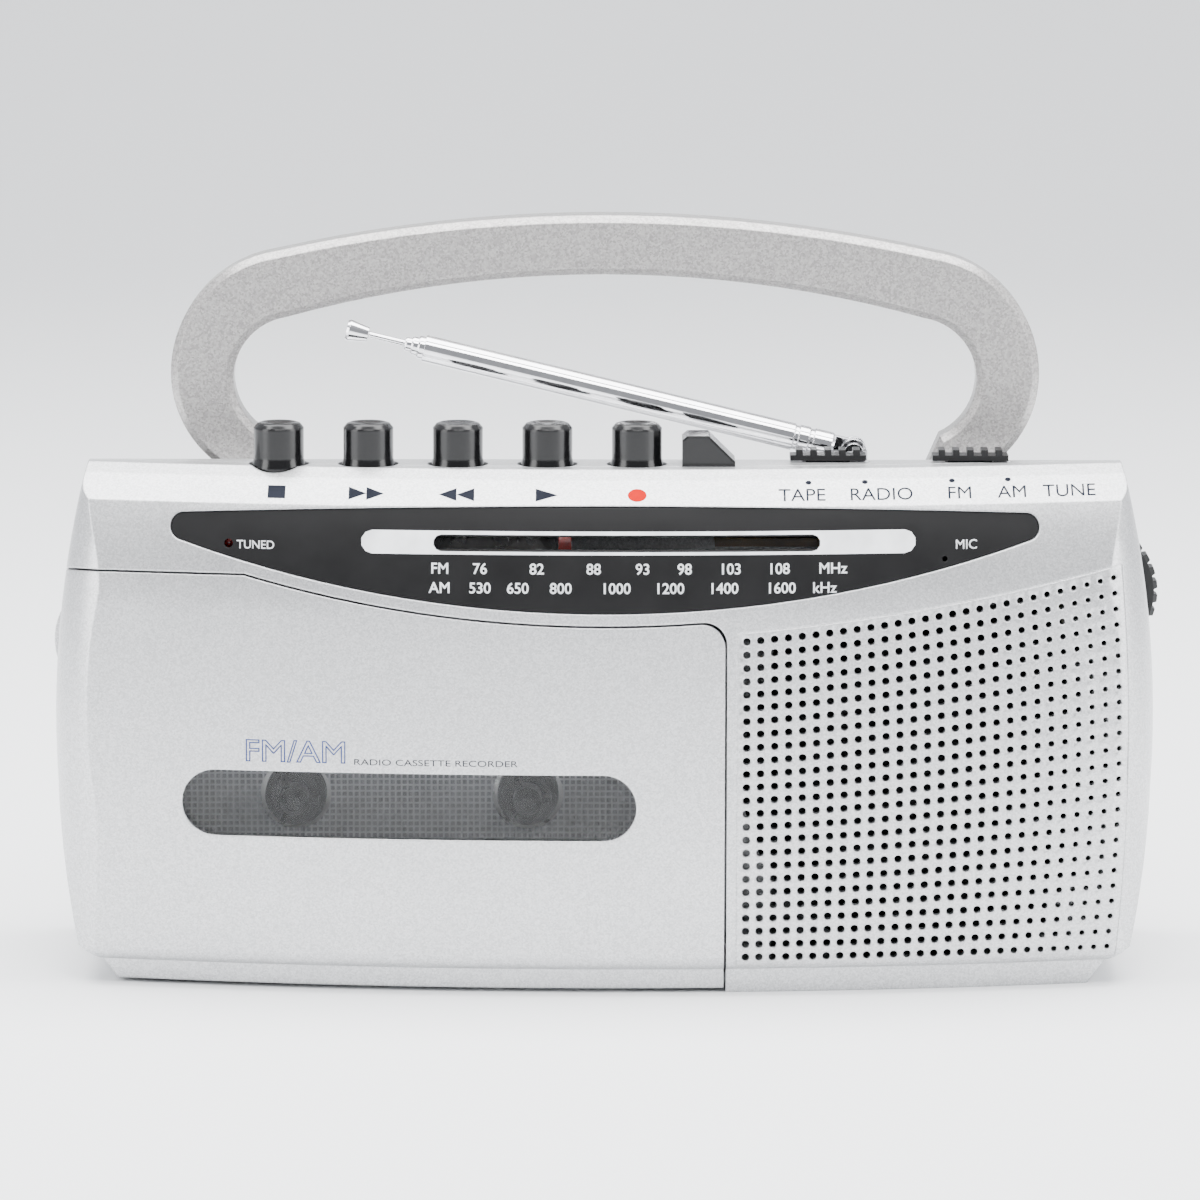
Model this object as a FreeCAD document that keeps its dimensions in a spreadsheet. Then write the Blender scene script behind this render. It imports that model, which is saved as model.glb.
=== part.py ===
import FreeCAD, Part
import math
import os
import Sketcher
from types import SimpleNamespace
from FreeCAD import Placement, Rotation, Vector

# A portable radio-cassette recorder. Millimetres. X to the right, -Y to the front, Z up.
# The origin is the centre of the flat base. The front is bowed in plan, and the sides are barrelled.

doc = FreeCAD.newDocument("RadioCassette")
sheet = doc.addObject("Spreadsheet::Sheet", "Sizes")

SIZES = [
    # cabinet
    ("halfWidth", 100.0, "half of the width at the widest level"),
    ("waistLevel", 47.0, "height of the widest level"),
    ("sideBow", 190.0, "radius of the barrelled sides"),
    ("bodyTop", 94.2, "height of the deck at its crest"),
    ("frontReach", 36.5, "front face, in front of the origin"),
    ("backReach", 34.0, "back face, behind the origin"),
    ("planBow", 420.0, "plan radius of the bowed front"),
    ("wall", 2.2, "shell thickness"),
    ("footHeight", 4.5, "height of the foot under the main shell"),
    ("footSet", 5.0, "how far the foot stands behind the front face"),
    ("footTuck", 8.5, "how far the foot stands inside the widest level"),
    ("deckBow", 76.0, "radius of the deck towards the back"),
    ("crestBack", 12.0, "crest of the deck, in front of the origin"),
    ("cornerPlan", 14.0, "plan radius of the front corners at the widest level"),
    ("cornerFoot", 12.6, "plan radius of the front corners at the base"),
    ("seamBack", 19.5, "front and rear shell seam, behind the front face"),
    ("seamGap", 0.25, "visible gap between shells"),
    # dial
    ("dialHeight", 18.6, "height of the dial panel"),
    ("dialDrop", 5.6, "top of the dial below the deck crest"),
    ("dialHalf", 78.2, "half width of the dial panel"),
    ("dialRim", 246.7, "radius of the dial's lower edge"),
    ("dialRecess", 1.25, "depth of the seat of the dial panel"),
    ("dialProud", 0.2, "top face of the dial below the shell"),
    ("slotLeft", 30.5, "dial slot, left of the middle"),
    ("slotRight", 38.4, "dial slot, right of the middle"),
    ("slotBottom", 11.2, "lower edge of the slot above the dial bottom"),
    ("slotHeight", 2.3, "height of the dial slot"),
    ("lensMargin", 1.2, "dial lens beyond its slot"),
    ("pointerX", -7.2, "pointer at rest"),
    ("pointerWidth", 2.3, "width of the pointer"),
    # door and cassette bay
    ("cassetteInset", 64.75, "middle of the cassette from the left side"),
    ("cassetteWidth", 100.4, "width of a cassette"),
    ("cassetteHeight", 63.8, "height of a cassette"),
    ("cassetteThick", 8.7, "thickness of a cassette"),
    ("cassetteFloor", 3.6, "where the cassette stands"),
    ("cassetteBack", 19.9, "middle of the cassette behind the front face"),
    ("spindlePitch", 42.5, "distance between the reel spindles"),
    ("spindleUp", 29.0, "reel spindles above the cassette's lower edge"),
    ("doorRight", 56.85, "right edge of the door from the middle of the cassette"),
    ("doorDepth", 12.5, "depth of the door's wrap"),
    ("doorGap", 0.4, "gap round the door"),
    ("doorLift", 0.8, "lower edge of the door above the base"),
    ("doorSide", 6.0, "flat part of the door's upper edge above the dial bottom"),
    ("doorUnderDial", 2.6, "door's upper edge below the dial"),
    ("hingeBack", 8.5, "door hinge behind the front face"),
    ("hingeLevel", 9.5, "door hinge above the base"),
    ("hingePin", 1.2, "radius of the door's hinge pins"),
    ("windowWidth", 82.0, "width of the window"),
    ("windowHeight", 12.0, "height of the window"),
    ("windowLevel", 34.8, "middle of the window"),
    ("bayDepth", 26.9, "plate behind the cassette, behind the front face"),
    ("plateThick", 1.5, "thickness of the plate behind the cassette"),
    ("chassisThick", 1.0, "thickness of the steel chassis"),
    ("capstanRadius", 1.0, "radius of the capstan"),
    ("capstanSide", 27.0, "capstan from the middle of the cassette"),
    ("capstanDrop", 10.4, "capstan below the cassette's tape edge"),
    ("flywheelRadius", 14.0, "radius of the flywheel"),
    ("pulleyRadius", 2.5, "radius of the motor pulley"),
    ("driveThick", 4.0, "thickness of flywheel and pulley"),
    ("motorRadius", 11.5, "radius of the motor"),
    ("rollerRadius", 5.0, "radius of the pinch roller"),
    ("headLift", 4.0, "travel of the head bridge"),
    # keys and slides
    ("keyInset", 40.8, "first key from the left side"),
    ("keyPitch", 16.25, "distance between keys"),
    ("keyBack", 23.5, "keys behind the front face"),
    ("keyRadius", 4.9, "radius of a key"),
    ("keyHeight", 7.6, "top of a key above the deck"),
    ("keyGap", 0.6, "gap round a key"),
    ("keyTravel", 5.0, "travel of a key"),
    ("slideBack", 28.0, "slide knobs behind the front face"),
    ("slideWidth", 13.8, "width of a slide knob"),
    ("slideTravel", 3.0, "travel of a slide knob"),
    # grille and speaker
    ("speakerInset", 42.0, "middle of the speaker from the right side"),
    ("speakerLevel", 38.0, "middle of the speaker"),
    ("speakerRadius", 33.0, "radius of the speaker"),
    ("grilleInset", 5.2, "right edge of the grille from the right side"),
    ("grilleBottom", 5.6, "lower edge of the grille"),
    # wheels
    ("wheelInset", 10.4, "wheel axes from the sides"),
    ("tuningLevel", 67.5, "axis of the tuning knob"),
    ("tuningRadius", 12.8, "radius of the tuning knob"),
    ("volumeLevel", 59.0, "axis of the volume wheel"),
    ("volumeRadius", 11.6, "radius of the volume wheel"),
    ("wheelFront", 9.0, "front of the wheels"),
    ("wheelThick", 5.5, "thickness of the wheels"),
    ("wheelGap", 0.8, "gap round the wheels"),
    ("drumRadius", 6.0, "radius of the cord drum"),
    ("shaftRadius", 1.5, "radius of the wheel shafts"),
    ("fitGap", 0.05, "radial clearance of a running fit"),
    # handle
    ("handleTop", 136.5, "top of the handle"),
    ("handleHalf", 80.5, "half width of the handle"),
    ("handleBand", 11.0, "width of the handle's band"),
    ("handleFront", 16.0, "front face of the handle"),
    ("handleThick", 9.0, "thickness of the handle"),
    ("handleBevel", 1.3, "bevel of the handle's edges"),
    ("pivotSide", 63.0, "handle pivots from the middle"),
    ("pivotLevel", 82.0, "handle pivots above the base"),
    ("pivotRadius", 2.0, "radius of the handle pins"),
    # antenna
    ("antennaInset", 54.4, "antenna pivot from the right side"),
    ("antennaY", 2.0, "antenna pivot behind the origin"),
    ("antennaUp", 0.4, "antenna pivot above the deck crest"),
    ("antennaRise", 13.5, "angle of the antenna above level"),
    ("antennaRadius", 2.5, "radius of the outer tube"),
    ("antennaStep", 0.4, "radius step between tubes"),
    ("antennaWall", 0.32, "wall of a tube"),
    ("antennaLength", 77.2, "length of the outer tube"),
    ("collarStep", 1.2, "length of each collar"),
    ("antennaReach", 95.6, "tip of the antenna from its pivot"),
    # power
    ("batteryLeft", 24.0, "battery bay from the left side"),
    ("batteryWidth", 106.0, "width of the battery bay"),
    ("batteryTop", 58.0, "top of the battery bay"),
    ("inletX", 73.0, "middle of the mains inlet"),
    ("inletLevel", 14.0, "height of the mains inlet"),
    ("jackLevel", 30.0, "height of the headphone jack"),
    ("jackY", 12.0, "headphone jack behind the origin"),
    ("jackBore", 1.8, "radius of the headphone jack's bore"),
    ("jackDepth", 12.0, "depth of the headphone jack's bore"),
    ("screwRadius", 1.4, "radius of a case screw"),
]

for row, (alias, value, meaning) in enumerate(SIZES, 1):
    sheet.set("A%d" % row, meaning)
    sheet.set("B%d" % row, str(value))
    sheet.setAlias("B%d" % row, alias)
doc.recompute()


class Size:
    """A sheet value, or a sum of such values, kept with the expression that gives it."""

    def __init__(self, value, text):
        self.value = float(value)
        self.text = text

    def __float__(self):
        return self.value

    def __add__(self, other):
        return Size(self.value + float(other), "(%s + %s)" % (self.text, textOf(other)))

    def __radd__(self, other):
        return self + other

    def __sub__(self, other):
        return Size(self.value - float(other), "(%s - %s)" % (self.text, textOf(other)))

    def __rsub__(self, other):
        return Size(float(other) - self.value, "(%s - %s)" % (textOf(other), self.text))

    def __mul__(self, factor):
        return Size(self.value * float(factor), "(%s * %s)" % (self.text, textOf(factor)))

    def __rmul__(self, factor):
        return self * factor

    def __neg__(self):
        return self * -1.0


def textOf(number):
    if isinstance(number, Size):
        return number.text
    return "(%s)" % float(number)


s = SimpleNamespace()
for alias, value, meaning in SIZES:
    setattr(s, alias, Size(getattr(sheet, alias), "Sizes.%s" % alias))

nodes = []
AXES = {
    "X": Rotation(Vector(0, 0, 1), Vector(1, 0, 0)),
    "-X": Rotation(Vector(0, 0, 1), Vector(-1, 0, 0)),
    "Y": Rotation(Vector(0, 0, 1), Vector(0, 1, 0)),
    "-Y": Rotation(Vector(0, 0, 1), Vector(0, -1, 0)),
    "Z": Rotation(),
}


def bind(item, name, number):
    if isinstance(number, Size):
        item.setExpression(name, number.text)
    else:
        setattr(item, name, number)


def put(item, at, axis="Z"):
    """Place an object at a point, with its own Z along the named axis."""
    item.Placement = Placement(Vector(*[float(number) for number in at]), AXES[axis])
    for letter, number in zip("xyz", at):
        if isinstance(number, Size):
            item.setExpression(".Placement.Base.%s" % letter, number.text)
    return item


def block(x, y, z):
    """A box between pairs of low and high coordinates."""
    box = doc.addObject("Part::Box", "Block")
    bind(box, "Length", x[1] - x[0])
    bind(box, "Width", y[1] - y[0])
    bind(box, "Height", z[1] - z[0])
    return put(box, (x[0], y[0], z[0]))


def rod(radius, length, at, axis="Z"):
    cylinder = doc.addObject("Part::Cylinder", "Rod")
    bind(cylinder, "Radius", radius)
    bind(cylinder, "Height", length)
    return put(cylinder, at, axis)


def fuse(*items):
    joined = doc.addObject("Part::MultiFuse", "Fuse")
    joined.Shapes = list(items)
    return joined


def group(*items):
    together = doc.addObject("Part::Compound", "Group")
    together.Links = list(items)
    return together


def cut(base, *tools):
    result = doc.addObject("Part::Cut", "Cut")
    result.Base = base
    result.Tool = tools[0] if len(tools) == 1 else fuse(*tools)
    return result


def solidFeature(shape):
    feature = doc.addObject("Part::Feature", "Shell")
    feature.Shape = shape
    feature.Placement = Placement()
    return feature


def node(label, item):
    item.Label = label
    nodes.append(item)
    return item


def sketchOf(body, role, points):
    """A closed outline whose corners are held at sizes from the sheet."""
    sketch = body.newObject("Sketcher::SketchObject", "Outline")
    plane = [feature for feature in body.Origin.OriginFeatures if feature.Role == role][0]
    sketch.AttachmentSupport = [(plane, "")]
    sketch.MapMode = "FlatFace"
    count = len(points)
    corners = [Vector(float(point[0]), float(point[1]), 0) for point in points]
    for index in range(count):
        sketch.addGeometry(Part.LineSegment(corners[index], corners[(index + 1) % count]), False)
    for index in range(count):
        sketch.addConstraint(Sketcher.Constraint("Coincident", index, 2, (index + 1) % count, 1))
    for index, point in enumerate(points):
        for kind, number, axis in (("DistanceX", point[0], -2), ("DistanceY", point[1], -1)):
            if abs(float(number)) < 1e-9:
                sketch.addConstraint(Sketcher.Constraint("PointOnObject", index, 1, axis))
                continue
            place = sketch.addConstraint(
                Sketcher.Constraint(kind, -1, 1, index, 1, float(number)))
            if isinstance(number, Size):
                sketch.setExpression("Constraints[%d]" % place, number.text)
    return sketch


def turned(points, at, axis="Z"):
    """A body turned about its own Z from (radius, height) points."""
    body = doc.addObject("PartDesign::Body", "Turned")
    sketch = sketchOf(body, "XZ_Plane", points)
    turn = body.newObject("PartDesign::Revolution", "Turn")
    turn.Profile = sketch
    turn.ReferenceAxis = (sketch, ["V_Axis"])
    turn.Angle = 360
    return put(body, at, axis)


def spread(body, feature, count):
    """Repeat a feature round the body's own Z."""
    pattern = body.newObject("PartDesign::PolarPattern", "Round")
    pattern.Originals = [feature]
    upright = [item for item in body.Origin.OriginFeatures if item.Role == "Z_Axis"][0]
    pattern.Axis = (upright, [""])
    pattern.Angle = 360
    pattern.Occurrences = count
    body.Tip = pattern
    return body


# ------------------------------------------------------------------ levels that several pieces share
left = -s.halfWidth
right = s.halfWidth
front = -s.frontReach
dialTop = s.bodyTop - s.dialDrop
dialBottom = dialTop - s.dialHeight
ridgeLevel = s.bodyTop - 1.6
cassetteX = left + s.cassetteInset
cassetteY = front + s.cassetteBack
cassetteTop = s.cassetteFloor + s.cassetteHeight
takeUpX = cassetteX - s.spindlePitch * 0.5
supplyX = cassetteX + s.spindlePitch * 0.5
spindleZ = s.cassetteFloor + s.spindleUp
doorX = cassetteX + s.doorRight
plateFront = front + s.bayDepth
plateBack = plateFront + s.plateThick
chassisFront = plateBack + 2.0
chassisBack = chassisFront + s.chassisThick
driveFront = chassisBack + 0.6
driveBack = driveFront + s.driveThick
partitionFront = driveBack + 2.3
bayFront = partitionFront + 1.2
bayLeft = left + s.batteryLeft
bayRight = bayLeft + s.batteryWidth
bayFloor = s.wall + 0.4
capstanX = cassetteX - s.capstanSide
capstanZ = cassetteTop - s.capstanDrop
motorX = cassetteX + 15.25
motorZ = s.batteryTop + 2.0 + s.motorRadius
keyY = front + s.keyBack
slideY = front + s.slideBack
speakerX = right - s.speakerInset
speakerFront = front + 14.7
wheelX = right - s.wheelInset
cordY = front + 21.5
cordHigh = dialBottom + 8.0
cordLow = cordHigh - 3.4
antennaX = right - s.antennaInset
antennaZ = s.bodyTop + s.antennaUp
hingeY = front + s.hingeBack
slotLow = dialBottom + s.slotBottom
slotHigh = slotLow + s.slotHeight

# ------------------------------------------------------------------ cabinet surfaces
BEHIND = 60.0
ABOVE = 40.0


def yz(y, z):
    return Vector(0, float(y), float(z))


def xz(x, z):
    return Vector(float(x), 0, float(z))


def line(a, b):
    return Part.makeLine(a, b)


def arc(a, b, c):
    return Part.Arc(a, b, c).toShape()


def faceOf(edges):
    return Part.Face(Part.Wire(edges))


def shrunk(points, depth):
    """Corner points of a closed outline, moved inwards by a depth at right angles to its sides."""
    count = len(points)
    flat = [(float(point[0]), float(point[1])) for point in points]
    twice = sum(flat[i - 1][0] * flat[i][1] - flat[i][0] * flat[i - 1][1] for i in range(count))
    turn = 1 if twice > 0 else -1
    moved = []
    for index in range(count):
        before, here, after = flat[index - 1], flat[index], flat[(index + 1) % count]
        normals = []
        for start, end in ((before, here), (here, after)):
            run = math.hypot(end[0] - start[0], end[1] - start[1])
            normals.append((-turn * (end[1] - start[1]) / run, turn * (end[0] - start[0]) / run))
        (ax, az), (bx, bz) = normals
        share = depth / (1 + ax * bx + az * bz)
        moved.append((here[0] + (ax + bx) * share, here[1] + (az + bz) * share))
    return moved


def outlineFace(points, depth, place):
    """A face from corners and, marked "via", the middles of arcs, taken in by a depth."""
    moved = [place(x, z) for x, z in shrunk(points, depth)]
    count = len(points)
    edges = []
    for index in range(count):
        if len(points[index]) == 3:
            continue
        after = (index + 1) % count
        if len(points[after]) == 3:
            edges.append(arc(moved[index], moved[after], moved[(index + 2) % count]))
        else:
            edges.append(line(moved[index], moved[after]))
    return faceOf(edges)


bowY = float(front + s.planBow)
topOut = float(s.bodyTop) + ABOVE


def frontSection(depth):
    """Front of the cabinet in the middle plane: foot, bowed face, dial band, label slope and ridge."""
    return outlineFace([
        (BEHIND, 0),
        (front + s.footSet + 0.5, 0),
        (front + s.footSet, s.footHeight),
        (front + 2.1, s.footHeight + 1.1, "via"),
        (front + 1.1, s.footHeight + 3.5),
        (front, (s.footHeight + dialBottom) * 0.5 + 2.75, "via"),
        (front + 1.0, dialBottom),
        (front + 2.56, dialBottom + s.dialHeight * 0.5, "via"),
        (front + 6.0, dialTop),
        (front + 12.5, ridgeLevel),
        (front + 15.5, s.bodyTop),
        (front + 15.5, topOut),
        (BEHIND, topOut),
    ], depth, yz)


def backSection(depth):
    """Deck and back of the cabinet in the middle plane."""
    crest = -float(s.crestBack)
    top = float(s.bodyTop)
    bow = float(s.deckBow)
    back = float(s.backReach)
    shoulder = back - 6.0
    waist = top - 19.0

    def deck(y):
        return top - bow + math.sqrt(bow ** 2 - (y - crest) ** 2)

    halfway = (shoulder + crest) / 2
    return outlineFace([
        (-BEHIND, 0),
        (back - 4.0, 0),
        (back, waist),
        (back - 1.5, waist + 5.2, "via"),
        (shoulder, deck(shoulder)),
        (halfway, deck(halfway), "via"),
        (crest, top),
        (-BEHIND, top),
    ], depth, yz)


def sideReach(level):
    bow = float(s.sideBow)
    return float(s.halfWidth) - bow + math.sqrt(bow ** 2 - (level - float(s.waistLevel)) ** 2)


def widthSection(depth):
    """Outline of the cabinet from the front: tucked foot and barrelled sides."""
    foot = float(s.footHeight)
    tuck = float(s.halfWidth - s.footTuck)
    step = foot + 2.5
    middle = (step + topOut) / 2
    half = [(tuck - 3.5, 0), (tuck, foot), (sideReach(step), step), (sideReach(middle), middle, "via"),
            (sideReach(topOut), topOut)]
    mirrored = [(-point[0],) + tuple(point[1:]) for point in reversed(half)]
    return outlineFace(half + mirrored, depth, xz)


def envelope(depth):
    """The cabinet's solid, taken in by a depth on every side."""
    bowed = frontSection(depth)
    bowed.rotate(Vector(0, bowY, 0), Vector(0, 0, 1), -25)
    body = bowed.revolve(Vector(0, bowY, 0), Vector(0, 0, 1), 50)
    reach = float(s.halfWidth) + 20
    across = backSection(depth)
    across.translate(Vector(-reach, 0, 0))
    body = body.common(across.extrude(Vector(2 * reach, 0, 0)))
    width = widthSection(depth)
    deep = width.copy()
    deep.translate(Vector(0, -80, 0))
    body = body.common(deep.extrude(Vector(0, 160, 0)))
    cornerX = float(s.halfWidth - s.cornerPlan)
    cornerY = bowY - math.sqrt(float(s.planBow) ** 2 - cornerX ** 2) + float(s.cornerPlan) - 0.5
    for sign in (1, -1):
        corner = Vector(sign * cornerX, cornerY, 0)
        low = Vector(min(sign * cornerX, sign * reach), -1, -1)
        window = Part.makeBox(reach - cornerX, 2, topOut + 2, low)
        sideCurve = width.common(window)
        sideCurve.translate(Vector(0, cornerY, 0))
        barrel = sideCurve.revolve(corner, Vector(0, 0, 1), 360)
        lower = Part.makeCone(float(s.cornerFoot) - depth, float(s.cornerPlan) - depth - 0.01,
                              float(s.waistLevel), Vector(sign * cornerX, cornerY, 0))
        keep = Part.makeBox(reach - cornerX, 60, topOut + 2,
                            Vector(low.x, cornerY - 60, -1))
        body = body.cut(keep.cut(barrel).cut(lower))
    return body


def prism(edges, y0=-80.0, y1=0.0):
    """A front outline carried along Y."""
    face = faceOf(edges)
    face.translate(Vector(0, y0, 0))
    return face.extrude(Vector(0, y1 - y0, 0))


def box(x0, x1, y0, y1, z0, z1):
    numbers = [float(number) for number in (x0, x1, y0, y1, z0, z1)]
    return Part.makeBox(numbers[1] - numbers[0], numbers[3] - numbers[2], numbers[5] - numbers[4],
                        Vector(numbers[0], numbers[2], numbers[4]))


def bar(radius, length, x, y, z, direction):
    return Part.makeCylinder(float(radius), float(length), Vector(float(x), float(y), float(z)), direction)


ALONG_X = Vector(1, 0, 0)
ALONG_Y = Vector(0, 1, 0)
ALONG_Z = Vector(0, 0, 1)


def drumAbout(radiusBack):
    """Everything further than a depth behind the bowed front."""
    return Part.makeCylinder(float(s.planBow) - float(radiusBack), topOut + 2, Vector(0, bowY, -1))


outer = envelope(0)
hollow = envelope(float(s.wall))
shell = outer.cut(hollow)


def dialOutline(grow):
    low = float(dialBottom) - grow
    high = float(dialTop) + grow
    half = float(s.dialHalf) + grow
    rim = float(s.dialRim) + grow
    centre = low + rim

    def lower(x):
        return xz(x, centre - math.sqrt(rim ** 2 - x ** 2))

    def end(sign):
        return xz(sign * (half - 0.1), high - 3.7)

    def shoulder(sign):
        return xz(sign * (half - 2.2), high - 1.85)

    return [
        arc(lower(-half + 2.0), lower(0), lower(half - 2.0)),
        arc(lower(half - 2.0), end(1), shoulder(1)),
        arc(shoulder(1), xz(0, high), shoulder(-1)),
        arc(shoulder(-1), end(-1), lower(-half + 2.0)),
    ]


def doorOutline(grow):
    """The door from the front: flat upper edge at the left, then parallel to the dial's rim."""
    rim = float(s.dialRim + s.doorUnderDial) - grow
    centre = float(dialBottom + s.dialRim)
    flat = float(dialBottom + s.doorSide) + grow
    edge = float(doorX) + grow
    meet = -math.sqrt(rim ** 2 - (centre - flat) ** 2)
    corner = 4.5

    def upper(x):
        return xz(x, centre - math.sqrt(rim ** 2 - x ** 2))

    low = float(s.doorLift) - 2 * grow if grow else float(s.doorLift)
    out = -float(s.halfWidth) - 15
    nook = upper(edge)
    return [
        line(xz(out, low), xz(out, flat)),
        line(xz(out, flat), xz(meet, flat)),
        arc(xz(meet, flat), upper((meet + edge - corner) / 2), upper(edge - corner)),
        arc(upper(edge - corner), xz(edge - 1.3, nook.z - 1.5), xz(edge, nook.z - corner)),
        line(xz(edge, nook.z - corner), xz(edge, low)),
        line(xz(edge, low), xz(out, low)),
    ]


def stadium(x, z, width, height):
    reach = width / 2
    rise = height / 2
    return [
        line(xz(x - reach + rise, z - rise), xz(x + reach - rise, z - rise)),
        arc(xz(x + reach - rise, z - rise), xz(x + reach, z), xz(x + reach - rise, z + rise)),
        line(xz(x + reach - rise, z + rise), xz(x - reach + rise, z + rise)),
        arc(xz(x - reach + rise, z + rise), xz(x - reach, z), xz(x - reach + rise, z - rise)),
    ]


def grilleOutline():
    """The perforated part of the front: its upper edge rises to the right."""
    x0 = float(doorX) + 2.2
    x1 = float(right - s.grilleInset)
    z0 = float(s.grilleBottom)
    rise = float(dialBottom)
    return [
        line(xz(x0, z0), xz(x1 - 2.0, z0)),
        arc(xz(x1 - 2.0, z0), xz(x1, float(s.waistLevel)), xz(x1 - 1.5, rise + 7.4)),
        arc(xz(x1 - 1.5, rise + 7.4), xz((x0 + x1) / 2, rise + 0.6), xz(x0, rise - 3.6)),
        line(xz(x0, rise - 3.6), xz(x0, z0)),
    ]


# ------------------------------------------------------------------ door
def swingRoom(gap):
    """What the door's wrapped side would sweep into behind its hinge, above and below."""
    upper = float(dialBottom + s.doorSide - s.hingeLevel) + gap + 0.06
    lower = float(s.doorDepth) + 0.9 + gap
    x0 = -float(s.halfWidth) - 5
    room = []
    for radius, z0, z1 in ((upper, s.hingeLevel + 40, dialTop), (lower, -1, s.hingeLevel)):
        piece = box(x0, x0 + 45, hingeY + 1, 0, z0, z1)
        room.append(piece.cut(bar(radius, 45, x0, hingeY, s.hingeLevel, ALONG_X)))
    return room


skinBack = drumAbout(s.doorDepth)
noFloor = drumAbout(s.footSet + s.wall)
footFree = box(-float(s.halfWidth) + float(s.footTuck) + float(s.wall) + 1.0, float(doorX) + 5,
               -80, 80, -1, float(s.wall) + 0.5)
doorSolid = shell.common(prism(doorOutline(0))).cut(skinBack).cut(noFloor.common(footFree))
doorSolid = doorSolid.cut(swingRoom(0))
windowX = float(cassetteX)
windowEdges = stadium(windowX, float(s.windowLevel), float(s.windowWidth), float(s.windowHeight))
doorSolid = doorSolid.cut(prism(windowEdges))
lugXs = [float(cassetteX) + 42.0, float(cassetteX) - 6.0]


def hingeEar(x):
    """An ear on the door with its hinge pin."""
    ear = box(x - 3, x, float(hingeY) - 5, float(hingeY) + 1.8, float(s.hingeLevel) - 2.2,
              float(s.hingeLevel) + 4)
    pin = bar(s.hingePin, 3.4, x, hingeY, s.hingeLevel, ALONG_X)
    return ear.common(hollow).fuse(pin)


def hingeLug(x):
    """A round lug, carried by a leg on the cabinet floor, for a hinge pin."""
    y, z = float(hingeY), float(s.hingeLevel)
    eye = bar(s.hingePin + 0.85, 3, x + 0.3, y, z, ALONG_X)
    arm = box(x + 0.3, x + 3.3, y, y + 9.5, z - 0.9, z + 2.0)
    leg = box(x + 0.3, x + 3.3, y + 6.5, y + 9.5, 0.4, z + 2.0)
    return eye.fuse([arm, leg]).cut(bar(s.hingePin + s.fitGap, 6, x, y, z, ALONG_X))


for lugX in lugXs:
    doorSolid = doorSolid.fuse(hingeEar(lugX))
node("cassette_door", solidFeature(doorSolid.removeSplitter()))

lensBand = envelope(0.25).cut(envelope(1.8))
node("door_window", solidFeature(lensBand.common(prism(windowEdges))))

holderFront = cassetteY - s.cassetteThick * 0.5 - 0.6
holderBack = cassetteY + s.cassetteThick * 0.5 + 0.6
holderLeft = cassetteX - s.cassetteWidth * 0.5 - 0.4
holderRight = cassetteX + s.cassetteWidth * 0.5 + 0.4
holderTop = s.cassetteFloor + 52.0


def holderShape():
    """Pocket on the back of the door: a ledge, two side channels and the webs that carry it."""
    ledge = box(holderLeft - 1, holderRight + 1, holderFront - 1, holderBack + 1,
                s.cassetteFloor - 0.8, s.cassetteFloor)
    rightSide = box(holderRight, holderRight + 1, front, holderBack + 1, s.cassetteFloor - 0.8, holderTop)
    leftSide = box(holderLeft - 1, holderLeft, front, holderBack + 1, s.cassetteFloor - 0.8, holderTop)
    shape = ledge.fuse([rightSide, leftSide])
    for x0, x1 in ((holderLeft, holderLeft + 4), (holderRight - 4, holderRight)):
        for y0 in (holderFront - 1, holderBack):
            shape = shape.fuse(box(x0, x1, y0, y0 + 1, s.cassetteFloor - 0.8, holderTop))
    for x in lugXs:
        shape = shape.cut(box(x - 3.4, x + 3.8, front, hingeY + 10.5, 0, s.hingeLevel + 4))
    return shape.common(hollow).removeSplitter()


node("cassette_holder", solidFeature(holderShape()))

# ------------------------------------------------------------------ front cabinet, grille and dial
frontSolid = shell.cut(drumAbout(s.seamBack))
doorway = prism(doorOutline(float(s.doorGap)), -80.0, 40.0).cut(drumAbout(s.doorDepth + s.doorGap))
doorway = doorway.cut(swingRoom(float(s.doorGap)))
frontSolid = frontSolid.cut(doorway)
grille = prism(grilleOutline())
node("speaker_grille", solidFeature(frontSolid.common(grille)))
frontSolid = frontSolid.cut(grille)
dialSeat = outer.cut(envelope(float(s.dialRecess)))
frontSolid = frontSolid.cut(dialSeat.common(prism(dialOutline(0.15))))
lensEdges = (float(s.slotLeft + s.lensMargin), float(s.slotRight + s.lensMargin))
lensBox = box(-lensEdges[0], lensEdges[1], -80, -10, slotLow - s.lensMargin, slotHigh + s.lensMargin)
lampX = -67.7
lampZ = float(dialBottom) + 11.6
micX = 61.1
micZ = float(dialBottom) + 9.2
frontSolid = frontSolid.cut(lensBox)
frontSolid = frontSolid.cut(bar(1.7, 60, lampX, -70, lampZ, ALONG_Y))
frontSolid = frontSolid.cut(bar(1.0, 60, micX, -70, micZ, ALONG_Y))

dialBand = envelope(float(s.dialProud)).cut(envelope(float(s.dialRecess)))
dialSolid = dialBand.common(prism(dialOutline(0)))
dialSolid = dialSolid.cut(box(-s.slotLeft, s.slotRight, -80, -10, slotLow, slotHigh))
dialSolid = dialSolid.cut(bar(0.8, 60, lampX, -70, lampZ, ALONG_Y))
dialSolid = dialSolid.cut(bar(0.5, 60, micX, -70, micZ, ALONG_Y))
node("dial_panel", solidFeature(dialSolid))
lensShell = envelope(float(s.dialRecess)).cut(hollow)
node("dial_lens", solidFeature(lensShell.common(lensBox)))

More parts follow.
